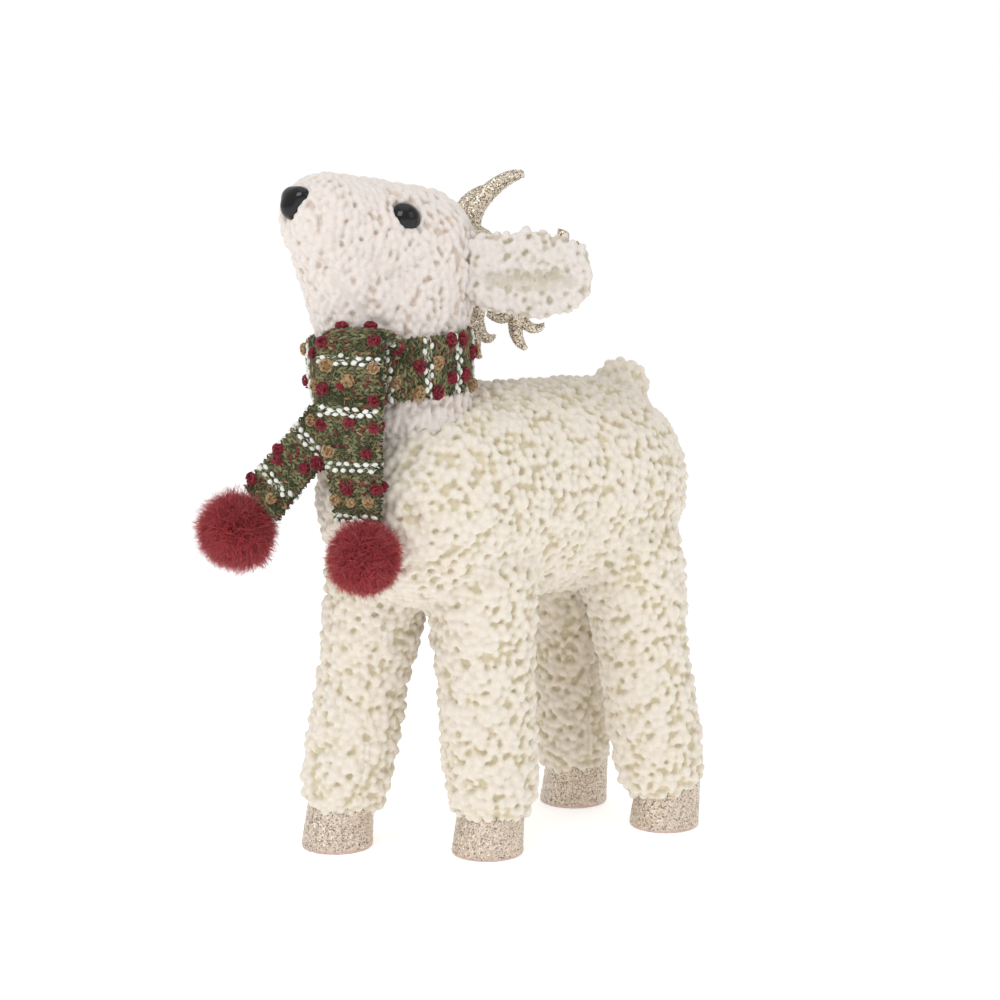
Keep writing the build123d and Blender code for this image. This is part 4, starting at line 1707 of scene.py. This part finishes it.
@dataclass
class Pompom:
    """A ball of long soft fur on a hidden core."""

    name: str
    centre: Point
    radius: float
    comb: Point
    strands: int = 9000
    locks: int = 150
    seed: int = 1

    def core(self) -> bpy.types.Object:
        """Build the lumpy core that the fur is rooted in."""
        mesh = bmesh.new()
        bmesh.ops.create_icosphere(mesh, subdivisions=5, radius=self.radius * 0.62)
        for vertex in mesh.verts:
            ray = vertex.co.normalized()
            vertex.co += ray * self.radius * 0.1 * noise.noise(ray * 5 + Vector((self.seed, 0, 0)))
            vertex.co += Vector(self.centre)
        data = bpy.data.meshes.new(self.name + "_core")
        mesh.to_mesh(data)
        mesh.free()
        # A reach of 0.15 gives the core the dark root colour: painted shade in the ball's middle.
        for label, value in (("reach", 0.15), ("tone", 0.2)):
            store = data.attributes.new(label, "FLOAT", "POINT")
            store.data.foreach_set("value", [value] * len(data.vertices))
        made = new_object(self.name + "_core", data)
        smooth_shade(made)
        return made

    def fur(self, sow: Tree, strand: bpy.types.Object, finish: bpy.types.Material) -> bpy.types.Object:
        """Grow the fur in locks that lean together."""
        dice = np.random.default_rng(self.seed)
        comb = Vector(self.comb)
        lock_rays = dice.normal(size=(self.locks, 3))
        lock_rays /= np.linalg.norm(lock_rays, axis=1)[:, None]
        rays = dice.normal(size=(self.strands, 3))
        rays /= np.linalg.norm(rays, axis=1)[:, None]
        nearest = np.argmax(rays @ lock_rays.T, axis=1)
        picks = dice.random((self.strands, 4))
        lock_tone = dice.random(self.locks)
        lock_reach = 0.88 + 0.2 * dice.random(self.locks)
        seeds = Seeds()
        for index in range(self.strands):
            ray = Vector(rays[index])
            lock = Vector(lock_rays[nearest[index]])
            aim = (ray * 0.5 + lock * 0.3 + comb * 0.35).normalized()
            side = ray.cross(
                Vector((picks[index, 0] - 0.5, picks[index, 1] - 0.5, picks[index, 2] - 0.5))
            ).normalized()
            aim = (aim + side * 0.5).normalized()
            reach = float(lock_reach[nearest[index]]) * (0.84 + 0.26 * picks[index, 3])
            root = Vector(self.centre) + ray * self.radius * 0.58
            width = (0.24 if index % 3 else 0.42) * MM
            long = self.radius * (reach - 0.5) * 1.1
            tone = 0.65 * float(lock_tone[nearest[index]]) + 0.45 * float(picks[index, 0])
            seeds.add(root, comb + side * 0.6, aim, (width, width, long), tone)
        fur = sow.apply(seeds.cloud(self.name), Shape=strand, Finish=finish)
        return fur

    def make(self, sow: Tree, strand: bpy.types.Object, finish: bpy.types.Material) -> bpy.types.Object:
        """Build the pom-pom and hand it to the frame."""
        core = self.core()
        dress(core, finish)
        ball = self.fur(sow, strand, finish)
        ball = join(self.name + "_fur", [ball, core])
        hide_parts(self.name)
        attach(ball, self.name)
        return ball


# ------------------------------------------------------------------ moulded parts


def flake(name: str) -> bpy.types.Object:
    """One six-sided glitter flake, a millimetre across and thin."""
    mesh = bmesh.new()
    rings = []
    for lift in (-0.05 * MM, 0.05 * MM):
        rings.append([
            mesh.verts.new((
                0.5 * MM * math.cos(math.tau * k / 6),
                0.5 * MM * math.sin(math.tau * k / 6),
                lift + 0.12 * MM,
            ))
            for k in range(6)
        ])
    mesh.faces.new(list(reversed(rings[0])))
    mesh.faces.new(rings[1])
    for step in range(6):
        after = (step + 1) % 6
        mesh.faces.new((rings[0][step], rings[0][after], rings[1][after], rings[1][step]))
    return object_from(mesh, name)


@dataclass
class Glitter:
    """Loose flakes glued over a moulded part."""

    node: str
    size: float
    spacing: float
    slot: str
    lean: float = 0.75
    floor: float = 0.0

    def make(self, scatter: Tree, shape: bpy.types.Object, material: bpy.types.Material) -> bpy.types.Object:
        """Scatter the flakes over the part and hand them to the frame."""
        part = frame["nodes"][self.node]
        copy = bpy.data.meshes.new_from_object(part.evaluated_get(bpy.context.evaluated_depsgraph_get()))
        flakes = new_object(self.node + "_flakes", copy)
        self._trim(flakes)
        scatter.apply(
            flakes,
            Shape=shape,
            Spacing=self.spacing,
            Density=FLAKE_CROWDING / self.spacing**2,
            Small=self.size * 0.6,
            Large=self.size * 1.3,
            Lean=self.lean,
            Skin=False,
            Seed=len(self.node),
            Finish=material,
        )
        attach(flakes, "animal")
        return flakes

    def _trim(self, flakes: bpy.types.Object) -> None:
        """Leave out what is under the part: the flat faces of its sole, below the floor height."""
        if self.floor <= 0.0:
            return
        mesh = bmesh.new()
        mesh.from_mesh(flakes.data)
        gone = [f for f in mesh.faces if f.calc_center_median().z < self.floor and abs(f.normal.z) > 0.9]
        bmesh.ops.delete(mesh, geom=gone, context="FACES")
        mesh.to_mesh(flakes.data)
        mesh.free()


def dress_nodes(material: bpy.types.Material, *nodes: str) -> None:
    """Give carried-over parts their finish."""
    for name in nodes:
        part = frame["nodes"][name]
        if part.data.materials:
            for index in range(len(part.data.materials)):
                part.material_slots[index].material = material
        else:
            part.data.materials.append(material)


@dataclass
class Nose:
    """A glossy moulded nose: a rounded triangle that domes out of the muzzle."""

    muzzle: Ball = (mm(0, -62.5, 248), 17.2 * MM)
    lift: float = math.radians(31)
    width: float = 15 * MM
    drop: float = 12 * MM
    height: float = 4.6 * MM
    sink: float = 1.7 * MM

    def outline(self, turn: float) -> tuple[float, float]:
        """A point of the rounded triangle at an angle, across and up in metres."""
        reach = 1.0 + 0.13 * math.cos(3 * (turn + math.pi / 2)) - 0.04 * math.cos(2 * turn)
        return (math.cos(turn) * reach * self.width / 2 * 0.95, math.sin(turn) * reach * self.drop / 2)

    def make(self, material: bpy.types.Material) -> bpy.types.Object:
        """Build the dome and its hidden flat back, and hand it to the frame."""
        out = Vector((0, -math.cos(self.lift), math.sin(self.lift)))
        across, up = Vector((1, 0, 0)), Vector((0, math.sin(self.lift), math.cos(self.lift)))
        seat = Vector(self.muzzle[0]) + out * (self.muzzle[1] - self.sink) - up * 1.2 * MM
        mesh = bmesh.new()
        loops = []
        for ring in range(14):
            share = math.cos(math.pi / 2 * ring / 14) if ring else 1.0
            lift = self.height * math.sin(math.pi / 2 * ring / 14) ** 0.9
            loop = []
            for step in range(64):
                x, y = self.outline(math.tau * step / 64)
                loop.append(mesh.verts.new(
                    seat + across * x * share + up * (y * share + 0.4 * MM * ring / 14) + out * lift
                ))
            loops.append(loop)
        back = [mesh.verts.new(v.co - out * 3.0 * MM) for v in loops[0]]
        loops.insert(0, back)
        for low, high in zip(loops, loops[1:]):
            for step in range(64):
                after = (step + 1) % 64
                mesh.faces.new((low[step], low[after], high[after], high[step]))
        tip = mesh.verts.new(seat + up * 0.4 * MM + out * self.height * 1.0)
        for step in range(64):
            mesh.faces.new((loops[-1][step], loops[-1][(step + 1) % 64], tip))
        mesh.faces.new(list(reversed(back)))
        bmesh.ops.recalc_face_normals(mesh, faces=mesh.faces)
        made = object_from(mesh, "moulded_nose")
        smooth_shade(made)
        dress(made, material)
        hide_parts("nose")
        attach(made, "animal")
        return made


# ------------------------------------------------------------------ studio


def studio() -> None:
    """Lay the floor, hang the lamps and set up the camera."""
    floor = mesh_from(
        "studio_floor",
        [(x * FLOOR_HALF, y * FLOOR_HALF, 0) for x, y in ((-1, -1), (1, -1), (1, 1), (-1, 1))],
        [(0, 1, 2, 3)]
    )
    dress(floor, FLOOR.make())
    world = bpy.data.worlds.new("studio")
    world.use_nodes = True
    sky = world.node_tree.nodes["Background"]
    sky.inputs[0].default_value = rgba(1, 1, 1)
    seen = world.node_tree.nodes.new("ShaderNodeLightPath")
    level = world.node_tree.nodes.new("ShaderNodeMapRange")
    level.inputs[3].default_value = 0.6
    level.inputs[4].default_value = 1.0
    world.node_tree.links.new(seen.outputs["Is Camera Ray"], level.inputs[0])
    world.node_tree.links.new(level.outputs[0], sky.inputs[1])
    bpy.context.scene.world = world
    bpy.context.scene.view_settings.view_transform = "Standard"
    target = Vector(mm(-4.41, 21.85, 135.94))
    for name, azimuth, elevation, distance, size, power in (
        ("key", 20, 40, 1.1, 0.55, 3.6),
        ("fill", 110, 30, 1.2, 0.7, 1.3),
        ("top", 60, 85, 1.2, 1.0, 1.6),
        ("back", 215, 35, 1.3, 0.8, 1.2),
    ):
        lamp = bpy.data.lights.new(name, "AREA")
        lamp.size = size
        lamp.energy = power
        holder = bpy.data.objects.new(name, lamp)
        bpy.context.scene.collection.objects.link(holder)
        holder.location = target + direction(azimuth, elevation) * distance
        holder.rotation_euler = (target - holder.location).to_track_quat("-Z", "Y").to_euler()
    camera = bpy.data.cameras.new("camera")
    camera.lens = LENS
    camera.sensor_width = SENSOR
    holder = bpy.data.objects.new("camera", camera)
    bpy.context.scene.collection.objects.link(holder)
    holder.location = target + direction(*CAMERA_ANGLES) * CAMERA_DISTANCE
    holder.rotation_euler = (target - holder.location).to_track_quat("-Z", "Y").to_euler()
    bpy.context.scene.camera = holder


def direction(azimuth: float, elevation: float) -> Vector:
    """Unit vector from the object towards a viewer at that azimuth and elevation in degrees."""
    a, e = math.radians(azimuth), math.radians(elevation)
    return Vector((math.sin(a) * math.cos(e), -math.cos(a) * math.cos(e), math.sin(e)))


def main() -> None:
    """Build every piece in order."""
    scatter = scatter_tree("scatter_curls")
    sow = sowing_tree()
    log.info("body %s", len(Body().make(scatter).data.vertices))
    log.info("head %s", len(Head().make(scatter).data.vertices))
    for side in ("left", "right"):
        log.info("%s ear %s", side, len(Ear(side).make(scatter).data.vertices))
    Scarf().make(sow)
    strand = hair("fur_strand")
    fur = RED_FUR.make()
    for ball in (
        Pompom("front_pompom", mm(25.5, -65.0, 125.0), 14.2 * MM, (0.1, -0.1, -0.5), seed=4),
        Pompom("side_pompom", mm(-23.8, -88.49, 131.8), 15.6 * MM, (-0.3, -0.1, -0.5), seed=9),
    ):
        made = ball.make(sow, strand, fur)
        log.info("%s %s", ball.name, len(made.data.vertices))
    drop(strand)
    plate = flake("glitter_flake")
    gold, champagne = ANTLER_GLITTER.make(), HOOF_GLITTER.make()
    for side in ("left", "right"):
        dress_nodes(gold, side + "_antler")
        Glitter(side + "_antler", 0.5, 0.58 * MM, "antler_glitter").make(scatter, plate, gold)
        for end in ("front_", "rear_"):
            dress_nodes(champagne, end + side + "_hoof")
            Glitter(end + side + "_hoof", 0.5, 0.8 * MM, "hoof_glitter", 0.45, 1 * MM).make(
                scatter, plate, champagne
            )
    drop(plate)
    gloss = BLACK_GLOSS.make()
    Nose().make(gloss)
    dress_nodes(gloss, "left_eye", "right_eye")
    dress_nodes(WASHER.make(), "left_eye_washer", "right_eye_washer")
    dress_nodes(STEEL.make(), "front_leg_wire", "rear_leg_wire", "spine_wire")
    cores = [end + side + "_leg_core" for end in ("front_", "rear_") for side in ("left", "right")]
    dress_nodes(FOAM.make(), "torso_core", "head_core", *cores)
    studio()


if __name__ == "__main__":
    main()
